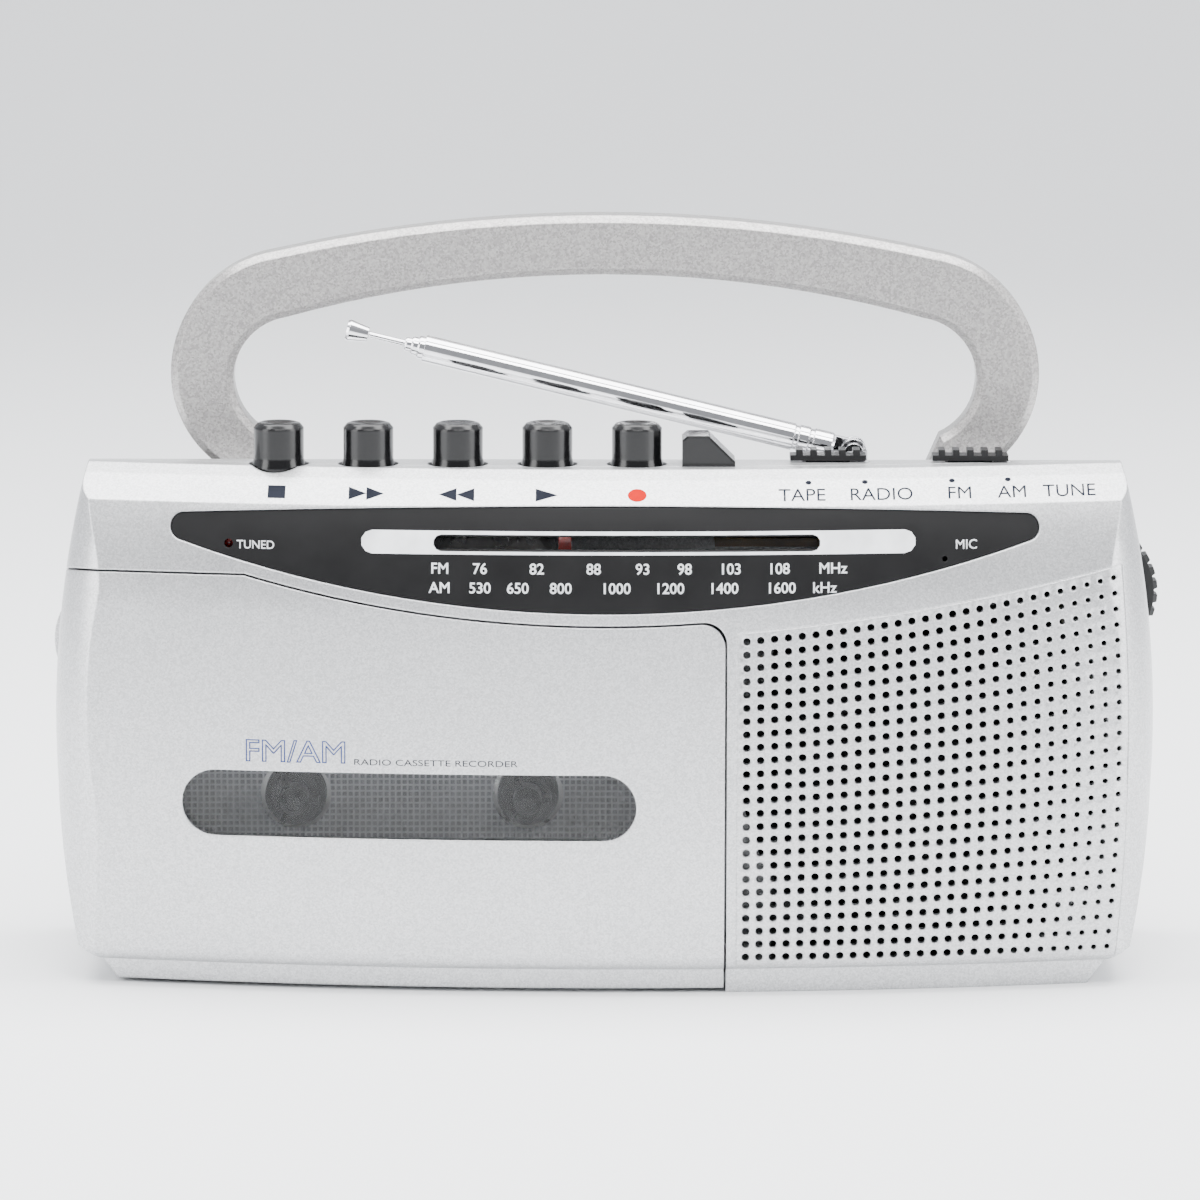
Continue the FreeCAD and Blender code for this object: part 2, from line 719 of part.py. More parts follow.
KEYS = ["stop", "forward", "rewind", "play", "record"]
keyXs = [left + s.keyInset + s.keyPitch * index for index in range(len(KEYS))]
keyHoles = [bar(s.keyRadius + s.keyGap, 20, x, keyY, float(s.bodyTop) - 12, ALONG_Z) for x in keyXs]
frontSolid = frontSolid.cut(keyHoles)
humpX = (float(keyXs[-1]) + 8.2, float(keyXs[-1]) + 17.8)
for lugX in lugXs:
    frontSolid = frontSolid.fuse(hingeLug(lugX).common(outer))
SCREWS = [(s.halfWidth - 14.0, 14.0), (9.0 - s.halfWidth, 14.0),
          (s.halfWidth - 12.0, s.bodyTop - 10.2), (12.0 - s.halfWidth, s.bodyTop - 10.2)]
screwSeat = -1.0


def screwPost(x, z):
    """A post for a case screw: on the front wall at the top, on a web from the floor below."""
    x, z = float(x), float(z)
    surface = bowY - math.sqrt(float(s.planBow) ** 2 - x ** 2)
    if z > float(s.waistLevel):
        post = bar(3.2, screwSeat - surface, x, surface, z, ALONG_Y)
    else:
        seam = bowY - math.sqrt(float(s.planBow - s.seamBack) ** 2 - x ** 2)
        start = seam - 6.0
        post = bar(3.2, screwSeat - start, x, start, z, ALONG_Y)
        post = post.fuse(box(x - 1.2, x + 1.2, start, seam - 0.3, 1, z))
        post = post.fuse(box(x - 1.2, x + 1.2, start, screwSeat, z - 5.0, z))
    deep = min(14.0, screwSeat - post.BoundBox.YMin - 1.0)
    return post.common(outer).cut(bar(s.screwRadius, deep, x, screwSeat - deep, z, ALONG_Y)), deep


screwDepths = []
for x, z in SCREWS:
    post, deep = screwPost(x, z)
    screwDepths.append(deep)
    frontSolid = frontSolid.fuse(post)
node("front_cabinet", solidFeature(frontSolid.removeSplitter()))

# ------------------------------------------------------------------ rear cabinet
rearSolid = shell.common(drumAbout(s.seamBack + s.seamGap))
partition = box(bayLeft - 1.2, bayRight + 1.2, partitionFront, s.backReach + 5, 1.0, s.batteryTop + 1.2)
bay = box(bayLeft, bayRight, bayFront, s.backReach + 10, bayFloor, s.batteryTop)
rearSolid = rearSolid.fuse(partition.common(outer).cut(bay.common(hollow)))
coverBox = box(bayLeft + 5, bayRight - 5, 20, 60, bayFloor + 5.5, s.batteryTop - 3.5)
coverHole = box(bayLeft + 4.6, bayRight - 4.6, 20, 60, bayFloor + 4.8, s.batteryTop - 3.1)
rearSolid = rearSolid.cut(coverHole)
channelX = (float(antennaX) - float(s.antennaReach) - 3.5, float(antennaX) + 6.0)
channelY = (float(s.antennaY) - 4.0, float(s.antennaY) + 4.0)
channelBed = box(channelX[0] - 2, channelX[1] + 2, channelY[0] - 2, channelY[1] + 2,
                 float(s.bodyTop) - 5.4, s.bodyTop)
rearSolid = rearSolid.fuse(channelBed.common(outer))
rearSolid = rearSolid.cut(box(*channelX, *channelY, float(s.bodyTop) - 3.0, float(s.bodyTop) + 5))
pocketHalf = 15.5
pocketFront = float(s.handleFront) - 2.0
pocketFloor = float(s.pivotLevel) - 6.0
pinXs = []
for sign in (1, -1):
    middle = sign * float(s.pivotSide + 4.5)
    low, high = middle - pocketHalf + 4.5, middle + pocketHalf - 4.5
    walls = box(low - 1.6, high + 1.6, pocketFront - 1.6, 60, pocketFloor - 1.6, 120).common(outer)
    rearSolid = rearSolid.fuse(walls)
    rearSolid = rearSolid.cut(box(low, high, pocketFront, 60, pocketFloor, 120))
    rearSolid = rearSolid.cut(bar(s.pivotRadius, high - low + 3.2, low - 1.6,
                                  float(s.handleFront) + float(s.handleThick) / 2,
                                  s.pivotLevel, ALONG_X))
    pinXs.append(low - 1.6)
pinLength = 2 * (pocketHalf - 4.5) + 3.2


# a moulded guard stands just in front of the volume wheel
guard = bar(s.volumeRadius + 0.4, 3.2, -wheelX, float(s.wheelFront) - 4.0, s.volumeLevel, ALONG_Y)
rearSolid = rearSolid.fuse(guard.cut(hollow))
wheelY = float(s.wheelFront) - 0.8
wheelDeep = float(s.wheelThick) + 1.6
rearSolid = rearSolid.cut(bar(s.tuningRadius + s.wheelGap, wheelDeep, wheelX, wheelY, s.tuningLevel,
                              ALONG_Y))
rearSolid = rearSolid.cut(bar(s.volumeRadius + s.wheelGap, wheelDeep, -wheelX, wheelY, s.volumeLevel,
                              ALONG_Y))
rearSolid = rearSolid.cut(keyHoles)
slideXs = [right - 59.4, right - 33.5]
for slideX in slideXs:
    rearSolid = rearSolid.cut(box(slideX - 4.6, slideX + 4.6 + s.slideTravel, slideY - 1.1, slideY + 1.1,
                                  float(s.bodyTop) - 12, float(s.bodyTop) + 5))
turretRadius = 3.2
turretSocket = bar(1.6, 12, antennaX, s.antennaY, float(s.bodyTop) - 8, ALONG_Z)
rearSolid = rearSolid.cut(turretSocket)
inletHalf = (8.0, 5.0)
rearSolid = rearSolid.cut(box(s.inletX - inletHalf[0], s.inletX + inletHalf[0], 20, 60,
                              s.inletLevel - inletHalf[1], s.inletLevel + inletHalf[1]))
rearSolid = rearSolid.cut(bar(2.9, 30, right - 14, s.jackY, s.jackLevel, ALONG_X))
headDeep = 3.0



def backWallAt(z):
    """The back face at a level: it leans out from the base to its shoulder, then curves in."""
    level = float(z)
    waist = float(s.bodyTop) - 19.0
    return float(s.backReach) - (4.0 * (1 - level / waist) if level < waist else 2.6)


for x, z in SCREWS:
    wallY = backWallAt(z)
    pillar = bar(3.4, wallY - screwSeat - 1.0, x, screwSeat + 0.4, z, ALONG_Y).common(outer)
    rearSolid = rearSolid.fuse(pillar)
    rearSolid = rearSolid.cut(bar(s.screwRadius + 0.15, 60, x, screwSeat, z, ALONG_Y))
    rearSolid = rearSolid.cut(bar(3.0, 30, x, wallY - headDeep, z, ALONG_Y))
for index in range(9):
    ventX = float(right) - 52.0 + index * 4.5
    rearSolid = rearSolid.cut(box(ventX, ventX + 1.6, 20, 60, 36, 56))
node("rear_cabinet", solidFeature(rearSolid.removeSplitter()))

coverSolid = shell.common(coverBox)
latch = box(-4, 4, 25, 60, s.batteryTop - 8.5, s.batteryTop - 5.5)
latch.translate(Vector(float(bayLeft + bayRight) / 2, 0, 0))
coverSolid = coverSolid.cut(latch.common(outer.cut(envelope(1.0))))
node("battery_cover", solidFeature(coverSolid))

screwSet = []
for (x, z), deep in zip(SCREWS, screwDepths):
    wallY = backWallAt(z)
    reach = deep - 1.0
    shank = rod(s.screwRadius, wallY - headDeep - screwSeat + reach, (x, screwSeat - reach, z), "Y")
    head = rod(s.screwRadius + 1.3, 1.6, (x, wallY - headDeep, z), "Y")
    screwSet.append(cut(fuse(shank, head), block((x - 2.0, x + 2.0), (wallY - headDeep + 0.9,
                        wallY), (z - 0.35, z + 0.35)), block((x - 0.35, x + 0.35),
                        (wallY - headDeep + 0.9, wallY), (z - 2.0, z + 2.0))))
node("case_screws", group(*screwSet))

# ------------------------------------------------------------------ keys, block and slide knobs
for name, x in zip(KEYS, keyXs):
    r = s.keyRadius
    bottom = s.bodyTop - 1.6
    cap = turned([
        (0, bottom), (r, bottom), (r, bottom + 1.2), (r - 0.35, bottom + 2.6),
        (r - 0.35, s.bodyTop + s.keyHeight - 1.0), (r - 1.0, s.bodyTop + s.keyHeight - 0.2),
        (r - 1.6, s.bodyTop + s.keyHeight), (r - 2.6, s.bodyTop + s.keyHeight - 0.35),
        (0, s.bodyTop + s.keyHeight - 0.9)], (x, keyY, 0))
    stem = block((x - 1.5, x + 1.5), (keyY - 1.0, keyY + 1.0), (s.bodyTop - 9.2, bottom + 0.5))
    node("key_" + name, fuse(cap, stem))

humpY = (float(keyY) - 4.0, float(keyY) + 4.6)
humpTop = float(s.bodyTop) + 5.6
humpSide = [
    xz(humpX[0], float(s.bodyTop) - 0.6), xz(humpX[0], humpTop - 0.8), xz(humpX[0] + 1.0, humpTop),
    xz(humpX[0] + 4.8, humpTop), xz(humpX[1], float(s.bodyTop) + 0.9), xz(humpX[1], float(s.bodyTop) - 0.6)]
humpFace = Part.Face(Part.makePolygon(humpSide + humpSide[:1]))
humpFace.translate(Vector(0, humpY[0], 0))
humpBlock = humpFace.extrude(Vector(0, humpY[1] - humpY[0], 0))
node("hump_block", solidFeature(humpBlock.cut(outer)))

for name, slideX in zip(("function_slider", "band_slider"), slideXs):
    knobLow = s.bodyTop + 0.3
    knob = block((slideX - s.slideWidth * 0.5, slideX + s.slideWidth * 0.5),
                 (slideY - 2.3, slideY + 2.3), (knobLow, knobLow + 1.0))
    ribs = [block((slideX + place - 0.6, slideX + place + 0.6), (slideY - 2.3, slideY + 2.3),
                  (knobLow + 0.8, knobLow + 2.0)) for place in (-5.2, -2.6, 0.0, 2.6, 5.2)]
    foot = block((slideX - 4.0, slideX + 4.0), (slideY - 0.8, slideY + 0.8), (s.bodyTop - 5.4,
                 knobLow + 0.5))
    node(name, fuse(knob, foot, *ribs))

switchBodies = [block((slideX - 7.0, slideX + 7.0), (slideY - 3.0, slideY + 3.0),
                      (s.bodyTop - 13.6, s.bodyTop - 5.8)) for slideX in slideXs]
node("slide_switches", group(*switchBodies))

# ------------------------------------------------------------------ radio
boardTop = s.bodyTop - 13.6
board = block((right - 80.0, right - 25.5), (front + 23.5, 8.6), (boardTop - 1.6, boardTop))
node("circuit_board", board)
node("ferrite_rod", rod(2.5, 50.0, (right - 78.0, 4.0, boardTop + 2.9), "X"))
capacitor = block((right - 18.6, right - 5.6), (s.wheelFront + s.wheelThick + 0.9,
                  s.wheelFront + s.wheelThick + 11.0), (s.tuningLevel - 8.0, s.tuningLevel + 7.0))
node("tuning_capacitor", capacitor)
potY = s.wheelFront + s.wheelThick + 0.9
pot = turned([(0, 0), (7.0, 0), (7.0, 8.0), (6.2, 9.0), (0, 9.0)], (-wheelX, potY, s.volumeLevel), "Y")
node("volume_control", pot)

magnetBack = speakerFront + 27.0
frameSolid = turned([
    (s.speakerRadius - 5.0, 0), (s.speakerRadius, 0), (s.speakerRadius, 1.6),
    (s.speakerRadius - 5.0, 1.6), (14.0, 18.6), (14.0, 19.4), (0, 19.4), (0, 18.0),
    (12.6, 18.0), (s.speakerRadius - 6.4, 1.4)], (speakerX, speakerFront, s.speakerLevel), "Y")
node("speaker_frame", frameSolid)
cone = turned([
    (0, 9.0), (7.0, 10.6), (s.speakerRadius - 9.4, 1.8), (s.speakerRadius - 8.4, 1.0),
    (s.speakerRadius - 7.0, 0.2), (s.speakerRadius - 7.0, 0.8), (s.speakerRadius - 8.4, 2.0),
    (7.0, 16.4), (6.0, 16.4), (6.0, 11.8), (0, 10.2)], (speakerX, speakerFront, s.speakerLevel), "Y")
node("speaker_cone", cone)
magnet = rod(16.0, 7.0, (speakerX, speakerFront + 19.4, s.speakerLevel), "Y")
node("speaker_magnet", magnet)

lampY = bowY - math.sqrt(float(s.planBow) ** 2 - lampX ** 2)
micY = bowY - math.sqrt(float(s.planBow) ** 2 - micX ** 2)
node("tuned_lamp", turned([(0, 0), (1.0, 0.3), (1.5, 1.4), (1.5, 6.0), (0, 6.0)],
                          (lampX, lampY + 5.0, lampZ), "Y"))
node("microphone", turned([(0, 0), (3.0, 0), (3.0, 5.0), (0, 5.0)], (micX, micY + 6.6, micZ), "Y"))

# the drum sits on the tuning knob's own shaft, and the cord runs past the pointer
drumFront = cordY - 1.0
wheelBody = turned([
    (0, 0), (s.tuningRadius - 0.8, 0), (s.tuningRadius, 0.8), (s.tuningRadius, s.wheelThick - 0.8),
    (s.tuningRadius - 0.8, s.wheelThick), (0, s.wheelThick)], (wheelX, s.wheelFront, s.tuningLevel), "Y")
notchSketch = sketchOf(wheelBody, "XY_Plane", [
    (s.tuningRadius - 0.7, -0.45), (s.tuningRadius + 0.6, -0.9), (s.tuningRadius + 0.6, 0.9),
    (s.tuningRadius - 0.7, 0.45)])
notch = wheelBody.newObject("PartDesign::Pocket", "Notch")
notch.Profile = notchSketch
notch.Type = "ThroughAll"
notch.Midplane = True
spread(wheelBody, notch, 30)
tuningShaft = rod(s.shaftRadius, s.wheelFront - drumFront + 0.5, (wheelX, drumFront, s.tuningLevel), "Y")
drum = rod(s.drumRadius, 2.0, (wheelX, drumFront, s.tuningLevel), "Y")
node("tuning_knob", fuse(wheelBody, tuningShaft, drum))

volumeBody = turned([
    (0, 0), (s.volumeRadius - 0.8, 0), (s.volumeRadius, 0.8), (s.volumeRadius, s.wheelThick - 0.8),
    (s.volumeRadius - 0.8, s.wheelThick), (0, s.wheelThick)], (-wheelX, s.wheelFront, s.volumeLevel), "Y")
notchSketch = sketchOf(volumeBody, "XY_Plane", [
    (s.volumeRadius - 0.7, -0.45), (s.volumeRadius + 0.6, -0.9), (s.volumeRadius + 0.6, 0.9),
    (s.volumeRadius - 0.7, 0.45)])
notch = volumeBody.newObject("PartDesign::Pocket", "Notch")
notch.Profile = notchSketch
notch.Type = "ThroughAll"
notch.Midplane = True
spread(volumeBody, notch, 28)
node("volume_wheel", volumeBody)

pointerY = front + 8.8
pointerLow = cordHigh + 0.8
blade = block((s.pointerX - s.pointerWidth * 0.5, s.pointerX + s.pointerWidth * 0.5),
              (pointerY, pointerY + 1.2), (pointerLow, slotHigh + 1.0))
arm = block((s.pointerX - s.pointerWidth * 0.5, s.pointerX + s.pointerWidth * 0.5),
            (pointerY, cordY + 0.8), (pointerLow, pointerLow + 1.0))
node("dial_pointer", fuse(blade, arm))

cordX = (float(left) + 66.0, float(right) - 20.0)


def cordShape():
    """The dial cord: two level runs and a turn round the drum, as a closed loop."""
    high, low = float(cordHigh), float(cordLow)
    middle = (high + low) / 2
    centre = (float(wheelX), float(s.tuningLevel))
    reach = float(s.drumRadius) + 0.65
    points = [xz(cordX[0], low), xz(cordX[0] - 1.2, middle), xz(cordX[0], high), xz(cordX[1], high)]
    for turn in range(70, -191, -20):
        angle = math.radians(turn)
        points.append(xz(centre[0] + reach * math.cos(angle), centre[1] + reach * math.sin(angle)))
    points.append(xz(cordX[1], low))
    wire = Part.makePolygon(points + points[:1])
    face = Part.Face(wire)
    ribbon = face.makeOffset2D(0.3, 0).cut(face.makeOffset2D(-0.3, 0))
    ribbon.translate(Vector(0, float(cordY) - 0.3, 0))
    return ribbon.extrude(Vector(0, 0.6, 0))


node("dial_cord", solidFeature(cordShape()))
pulleys = []
for x in cordX:
    pulleys.append(turned([(0, 0), (1.0, 0), (1.0, 2.0), (0.6, 2.0), (0.6, 5.0), (0, 5.0)],
                          (x + 0.4, cordY - 1.0, cordLow + 1.7), "Y"))
node("cord_pulleys", group(*pulleys))

# ------------------------------------------------------------------ tape mechanism
plateX = (left + 12.8, doorX - 2.6)
plate = block(plateX, (plateFront, plateBack), (s.hingeLevel + 3.5, cassetteTop - 2.4))
wells = [rod(6.5, 5.0, (x, plateFront - 1.0, spindleZ), "Y") for x in (takeUpX, supplyX)]
capstanHole = rod(2.0, 5.0, (capstanX, plateFront - 1.0, capstanZ), "Y")
node("deck_plate", cut(plate, capstanHole, *wells))

chassis = block((left + 18.0, doorX - 6.0), (chassisFront, chassisBack), (s.wall + 2.0, cassetteTop + 1.0))
spindleShaft = 1.2
spindleHoles = [rod(spindleShaft + s.fitGap, 5.0, (x, chassisFront - 1.0, spindleZ), "Y")
                for x in (takeUpX, supplyX)]
capstanBearing = rod(s.capstanRadius + s.fitGap, 5.0, (capstanX, chassisFront - 1.0, capstanZ), "Y")
node("mechanism_chassis", cut(chassis, capstanBearing, *spindleHoles))


def spindle(x):
    """A reel table with its post and three drive fins, facing the front."""
    start = chassisBack + 1.5
    reach = start - (front + 17.0)
    base = start - plateBack
    body = turned([
        (0, 0), (spindleShaft, 0), (spindleShaft, base - 1.4), (5.6, base - 1.4), (5.6, base + 2.2),
        (4.4, base + 3.0), (2.6, base + 3.0), (2.6, reach - 2.4), (1.4, reach), (0, reach)],
        (x, start, spindleZ), "-Y")
    finSketch = sketchOf(body, "XZ_Plane", [
        (2.2, base + 2.6), (4.3, base + 2.6), (4.3, reach - 4.0), (2.2, reach - 2.8)])
    fin = body.newObject("PartDesign::Pad", "Fin")
    fin.Profile = finSketch
    fin.Length = 1.0
    fin.Midplane = True
    return spread(body, fin, 3)


node("take_up_spindle", spindle(takeUpX))
node("supply_spindle", spindle(supplyX))

wheel = turned([
    (0, 0), (s.flywheelRadius, 0), (s.flywheelRadius, s.driveThick), (s.flywheelRadius - 2.5, s.driveThick),
    (s.flywheelRadius - 3.0, s.driveThick - 1.2), (4.0, s.driveThick - 1.2), (4.0, s.driveThick + 1.0),
    (0, s.driveThick + 1.0)], (capstanX, driveFront, capstanZ), "Y")
capstanFront = front + 16.0
capstan = rod(s.capstanRadius, driveFront - capstanFront + 1.0, (capstanX, capstanFront, capstanZ), "Y")
node("flywheel", fuse(wheel, capstan))

motorFront = driveBack + 1.2
motorCase = turned([
    (1.0, 0), (s.motorRadius - 1.0, 0), (s.motorRadius, 1.0), (s.motorRadius, 16.5),
    (s.motorRadius - 1.0, 17.5), (1.0, 17.5)], (motorX, motorFront, motorZ), "Y")
node("motor", motorCase)
pulley = turned([
    (0, 0), (s.pulleyRadius + 0.9, 0), (s.pulleyRadius + 0.9, 0.6), (s.pulleyRadius, 0.9),
    (s.pulleyRadius, s.driveThick - 0.9), (s.pulleyRadius + 0.9, s.driveThick - 0.6),
    (s.pulleyRadius + 0.9, s.driveThick), (0.95, s.driveThick), (0.95, 12.0), (0, 12.0)],
    (motorX, driveFront, motorZ), "Y")
node("motor_pulley", pulley)


def beltShape():
    """A flat belt round the flywheel and the motor pulley, a hair off both."""
    ends = [(float(capstanX), float(capstanZ), float(s.flywheelRadius)),
            (float(motorX), float(motorZ), float(s.pulleyRadius))]
    run = math.hypot(ends[1][0] - ends[0][0], ends[1][1] - ends[0][1])
    heading = math.atan2(ends[1][1] - ends[0][1], ends[1][0] - ends[0][0])

    def loop(grow):
        lean = math.acos((ends[0][2] - ends[1][2]) / run)

        def spot(end, angle):
            x, z, radius = end
            return xz(x + (radius + grow) * math.cos(angle), z + (radius + grow) * math.sin(angle))

        upper, lower = heading + lean, heading - lean
        return faceOf([
            line(spot(ends[0], upper), spot(ends[1], upper)),
            arc(spot(ends[1], upper), spot(ends[1], heading), spot(ends[1], lower)),
            line(spot(ends[1], lower), spot(ends[0], lower)),
            arc(spot(ends[0], lower), spot(ends[0], heading + math.pi), spot(ends[0], upper)),
        ])

    ring = loop(0.75).cut(loop(0.25))
    ring.translate(Vector(0, float(driveFront) + 1.2, 0))
    return ring.extrude(Vector(0, 1.6, 0))


node("drive_belt", solidFeature(beltShape()))

bridgeLow = cassetteTop - 5.4
bridgeHigh = cassetteTop + 5.6
bridgeBack = plateFront - 1.4
bridgeFront = bridgeBack - 1.0
node("head_bridge", block((cassetteX - 15.0, cassetteX + 21.0), (bridgeFront, bridgeBack),
                          (bridgeLow, bridgeHigh)))
headFront = cassetteY - s.cassetteThick * 0.5 + 0.3
mainHead = block((cassetteX - 6.0, cassetteX + 6.0), (headFront, bridgeFront), (cassetteTop + 0.9,
                 bridgeHigh))
headNose = rod(3.2, bridgeFront - headFront - 1.0, (cassetteX, headFront + 0.5, cassetteTop + 3.4), "Y")
eraseHead = block((cassetteX + 12.5, cassetteX + 18.5), (headFront, bridgeFront),
                  (cassetteTop + 0.9, bridgeHigh - 0.6))
node("tape_heads", group(fuse(mainHead, headNose), eraseHead))

rollerZ = capstanZ + s.capstanRadius + s.rollerRadius + 0.3 + s.headLift
armPivotX = capstanX - 15.8
rollerFront = cassetteY - 3.6
armPin = rod(0.9, bridgeBack - rollerFront + 0.6, (capstanX, rollerFront - 0.6, rollerZ), "Y")
armBar = block((armPivotX, capstanX), (bridgeFront, bridgeBack), (rollerZ - 1.6, rollerZ + 1.6))
armEnds = [rod(2.4, bridgeBack - bridgeFront, (x, bridgeFront, rollerZ), "Y") for x in (armPivotX, capstanX)]
armHole = rod(1.0 + s.fitGap, 3.0, (armPivotX, bridgeFront - 1.0, rollerZ), "Y")
node("pinch_arm", cut(fuse(armBar, armPin, *armEnds), armHole))
armPost = turned([(0, 0), (1.0, 0), (1.0, 2.2), (2.0, 2.2), (2.0, 3.0), (0, 3.0)],
                 (armPivotX, bridgeFront - 0.6, rollerZ), "Y")
node("arm_post", armPost)
node("pinch_roller", turned([
    (0.9 + s.fitGap, 0), (s.rollerRadius - 0.5, 0), (s.rollerRadius, 0.5),
    (s.rollerRadius, 6.3), (s.rollerRadius - 0.5, 6.8), (0.9 + s.fitGap, 6.8)],
    (capstanX, rollerFront, rollerZ), "Y"))

# ------------------------------------------------------------------ power
backWall = s.backReach - 4.0 - s.wall
node("transformer", block((right - 64.0, right - 38.0), (5.0, backWall - 1.0), (s.wall + 0.4, 30.0)))
inletBox = block((s.inletX - inletHalf[0], s.inletX + inletHalf[0]), (14.0, s.backReach - 3.6),
                 (s.inletLevel - inletHalf[1], s.inletLevel + inletHalf[1]))
inletWell = [rod(3.6, 12.0, (s.inletX + side, s.backReach - 13.6, s.inletLevel), "Y") for side in (-3.2, 3.2)]
inletPins = [rod(1.1, 9.0, (s.inletX + side, s.backReach - 14.6, s.inletLevel), "Y") for side in (-3.2, 3.2)]
node("mains_inlet", fuse(cut(inletBox, *inletWell), *inletPins))
jackOut = sideReach(float(s.jackLevel)) - 0.2
jackBody = block((jackOut - 14.0, jackOut - 3.0), (s.jackY - 4.0, s.jackY + 4.0),
                 (s.jackLevel - 4.0, s.jackLevel + 4.0))
jackCollar = rod(2.7, 3.6, (jackOut - 3.6, s.jackY, s.jackLevel), "X")
jackHole = rod(s.jackBore, s.jackDepth + 5.0, (jackOut - s.jackDepth, s.jackY, s.jackLevel), "X")
node("headphone_jack", cut(fuse(jackBody, jackCollar), jackHole))
contacts = []
for x0 in (bayLeft + 0.1, bayRight - 0.7):
    for level in (0.25, 0.75):
        z = bayFloor + (s.batteryTop - bayFloor) * level
        contacts.append(block((x0, x0 + 0.6), (bayFront + 6.0, bayFront + 18.0), (z - 6.0, z + 6.0)))
node("battery_contacts", group(*contacts))

# ------------------------------------------------------------------ handle


def handleOutline(taken):
    """The handle from the front, taken in all round: a wide loop with legs drawn in to the pivots."""
    top = float(s.handleTop)
    half = float(s.handleHalf)
    band = float(s.handleBand)
    pivot = float(s.pivotSide)
    low = float(s.pivotLevel)
    waist = low + 25.0
    upper, lower, inner = 23.0, 21.0, 11.6
    leg = 5.0 - taken
    upX = -half + upper
    lowX = -half + lower
    inX = -half + band + 0.6 + inner

    def ring(x, z, radius, degrees):
        return x + radius * math.cos(math.radians(degrees)), z + radius * math.sin(math.radians(degrees))

    steps = [
        (ring(upX, waist, upper - taken, 99), ring(upX, waist, upper - taken, 140), (-half + taken, waist)),
        ((-half + taken, waist), ring(lowX, waist, lower - taken, 205),
         ring(lowX, waist, lower - taken, 233)),
        (ring(lowX, waist, lower - taken, 233), (-pivot - leg, low)),
        ((-pivot - leg, low), (-pivot, low - leg), (-pivot + leg, low)),
        ((-pivot + leg, low), (-pivot + leg, low + 4.0)),
        ((-pivot + leg, low + 4.0), ring(inX, waist - 1, inner + taken, 245)),
        (ring(inX, waist - 1, inner + taken, 245), ring(inX, waist - 1, inner + taken, 212),
         (inX - inner - taken, waist - 1)),
        ((inX - inner - taken, waist - 1), ring(inX, waist - 1, inner + taken, 142),
         ring(inX, waist - 1, inner + taken, 99)),
    ]

    def path(points, sign):
        ends = [xz(sign * x, z) for x, z in points]
        return arc(*ends) if len(ends) == 3 else line(*ends)

    leftEdges = [path(points, 1) for points in steps]
    rightEdges = [path(points[::-1], -1) for points in steps[::-1]]
    outX, outZ = steps[0][0]
    insideX, insideZ = steps[-1][-1]
    under = arc(xz(insideX, insideZ), xz(0, top - band + taken), xz(-insideX, insideZ))
    over = arc(xz(-outX, outZ), xz(0, top - taken), xz(outX, outZ))
    return leftEdges + [under] + rightEdges + [over]


def handleShape():
    """A flat band with bevelled rims, bored for its pins."""
    pivot = float(s.pivotSide)
    low = float(s.pivotLevel)
    bevel = float(s.handleBevel)
    thick = float(s.handleThick)
    sections = []
    for taken, y in ((bevel, 0), (0, bevel), (0, thick - bevel), (bevel, thick)):
        section = Part.Wire(handleOutline(taken))
        section.translate(Vector(0, float(s.handleFront) + y, 0))
        sections.append(section)
    solid = Part.makeLoft(sections, True, True)
    middleY = float(s.handleFront) + float(s.handleThick) / 2
    for sign in (1, -1):
        solid = solid.cut(bar(s.pivotRadius + s.fitGap, 20, sign * pivot - 10, middleY, low, ALONG_X))
    return solid


node("handle", solidFeature(handleShape()))
handleY = s.handleFront + s.handleThick * 0.5
node("handle_pins", group(*[rod(s.pivotRadius, pinLength, (x, handleY, s.pivotLevel), "X")
                            for x in pinXs]))

# ------------------------------------------------------------------ antenna
channelFloor = s.bodyTop - 3.0
turret = rod(turretRadius, 0.9, (antennaX, s.antennaY, channelFloor), "Z")
turretPeg = rod(1.6 - s.fitGap, 4.0, (antennaX, s.antennaY, channelFloor - 3.6), "Z")
cheeks = []
for side in (-1.15, 1.15):
    middle = s.antennaY + side * 1.5
    cheeks.append(rod(2.5, 1.1, (antennaX, middle - 0.55, antennaZ), "Y"))
    cheeks.append(block((antennaX - 2.5, antennaX + 2.5), (middle - 0.55, middle + 0.55),
                        (channelFloor + 0.6, antennaZ)))
screwHole = rod(0.95, 8.0, (antennaX, s.antennaY - 4.0, antennaZ), "Y")
node("antenna_base", cut(fuse(turret, turretPeg, *cheeks), screwHole))
screwHead = rod(1.8, 0.9, (antennaX, s.antennaY - 3.2, antennaZ), "Y")
screwShank = rod(0.95, 5.4, (antennaX, s.antennaY - 2.8, antennaZ), "Y")
crossA = block((antennaX - 1.1, antennaX + 1.1), (s.antennaY - 3.4, s.antennaY - 2.8),
               (antennaZ - 0.22, antennaZ + 0.22))
crossB = block((antennaX - 0.22, antennaX + 0.22), (s.antennaY - 3.4, s.antennaY - 2.8),
               (antennaZ - 1.1, antennaZ + 1.1))
node("antenna_screw", cut(fuse(screwHead, screwShank), crossA, crossB))

rise = math.radians(float(s.antennaRise))
alongAntenna = Vector(-math.cos(rise), 0, math.sin(rise))
pivotPoint = Vector(float(antennaX), float(s.antennaY), float(antennaZ))


def lean(item):
    """Lay a body that was made upright along the antenna."""
    turn = Rotation(Vector(0, -1, 0), 90 - float(s.antennaRise))
    item.Placement = Placement(pivotPoint, turn)
    item.setExpression(".Placement.Base.x", antennaX.text)
    item.setExpression(".Placement.Base.y", s.antennaY.text)
    item.setExpression(".Placement.Base.z", antennaZ.text)
    item.setExpression(".Placement.Rotation.Angle", (90 - s.antennaRise).text)
    return item


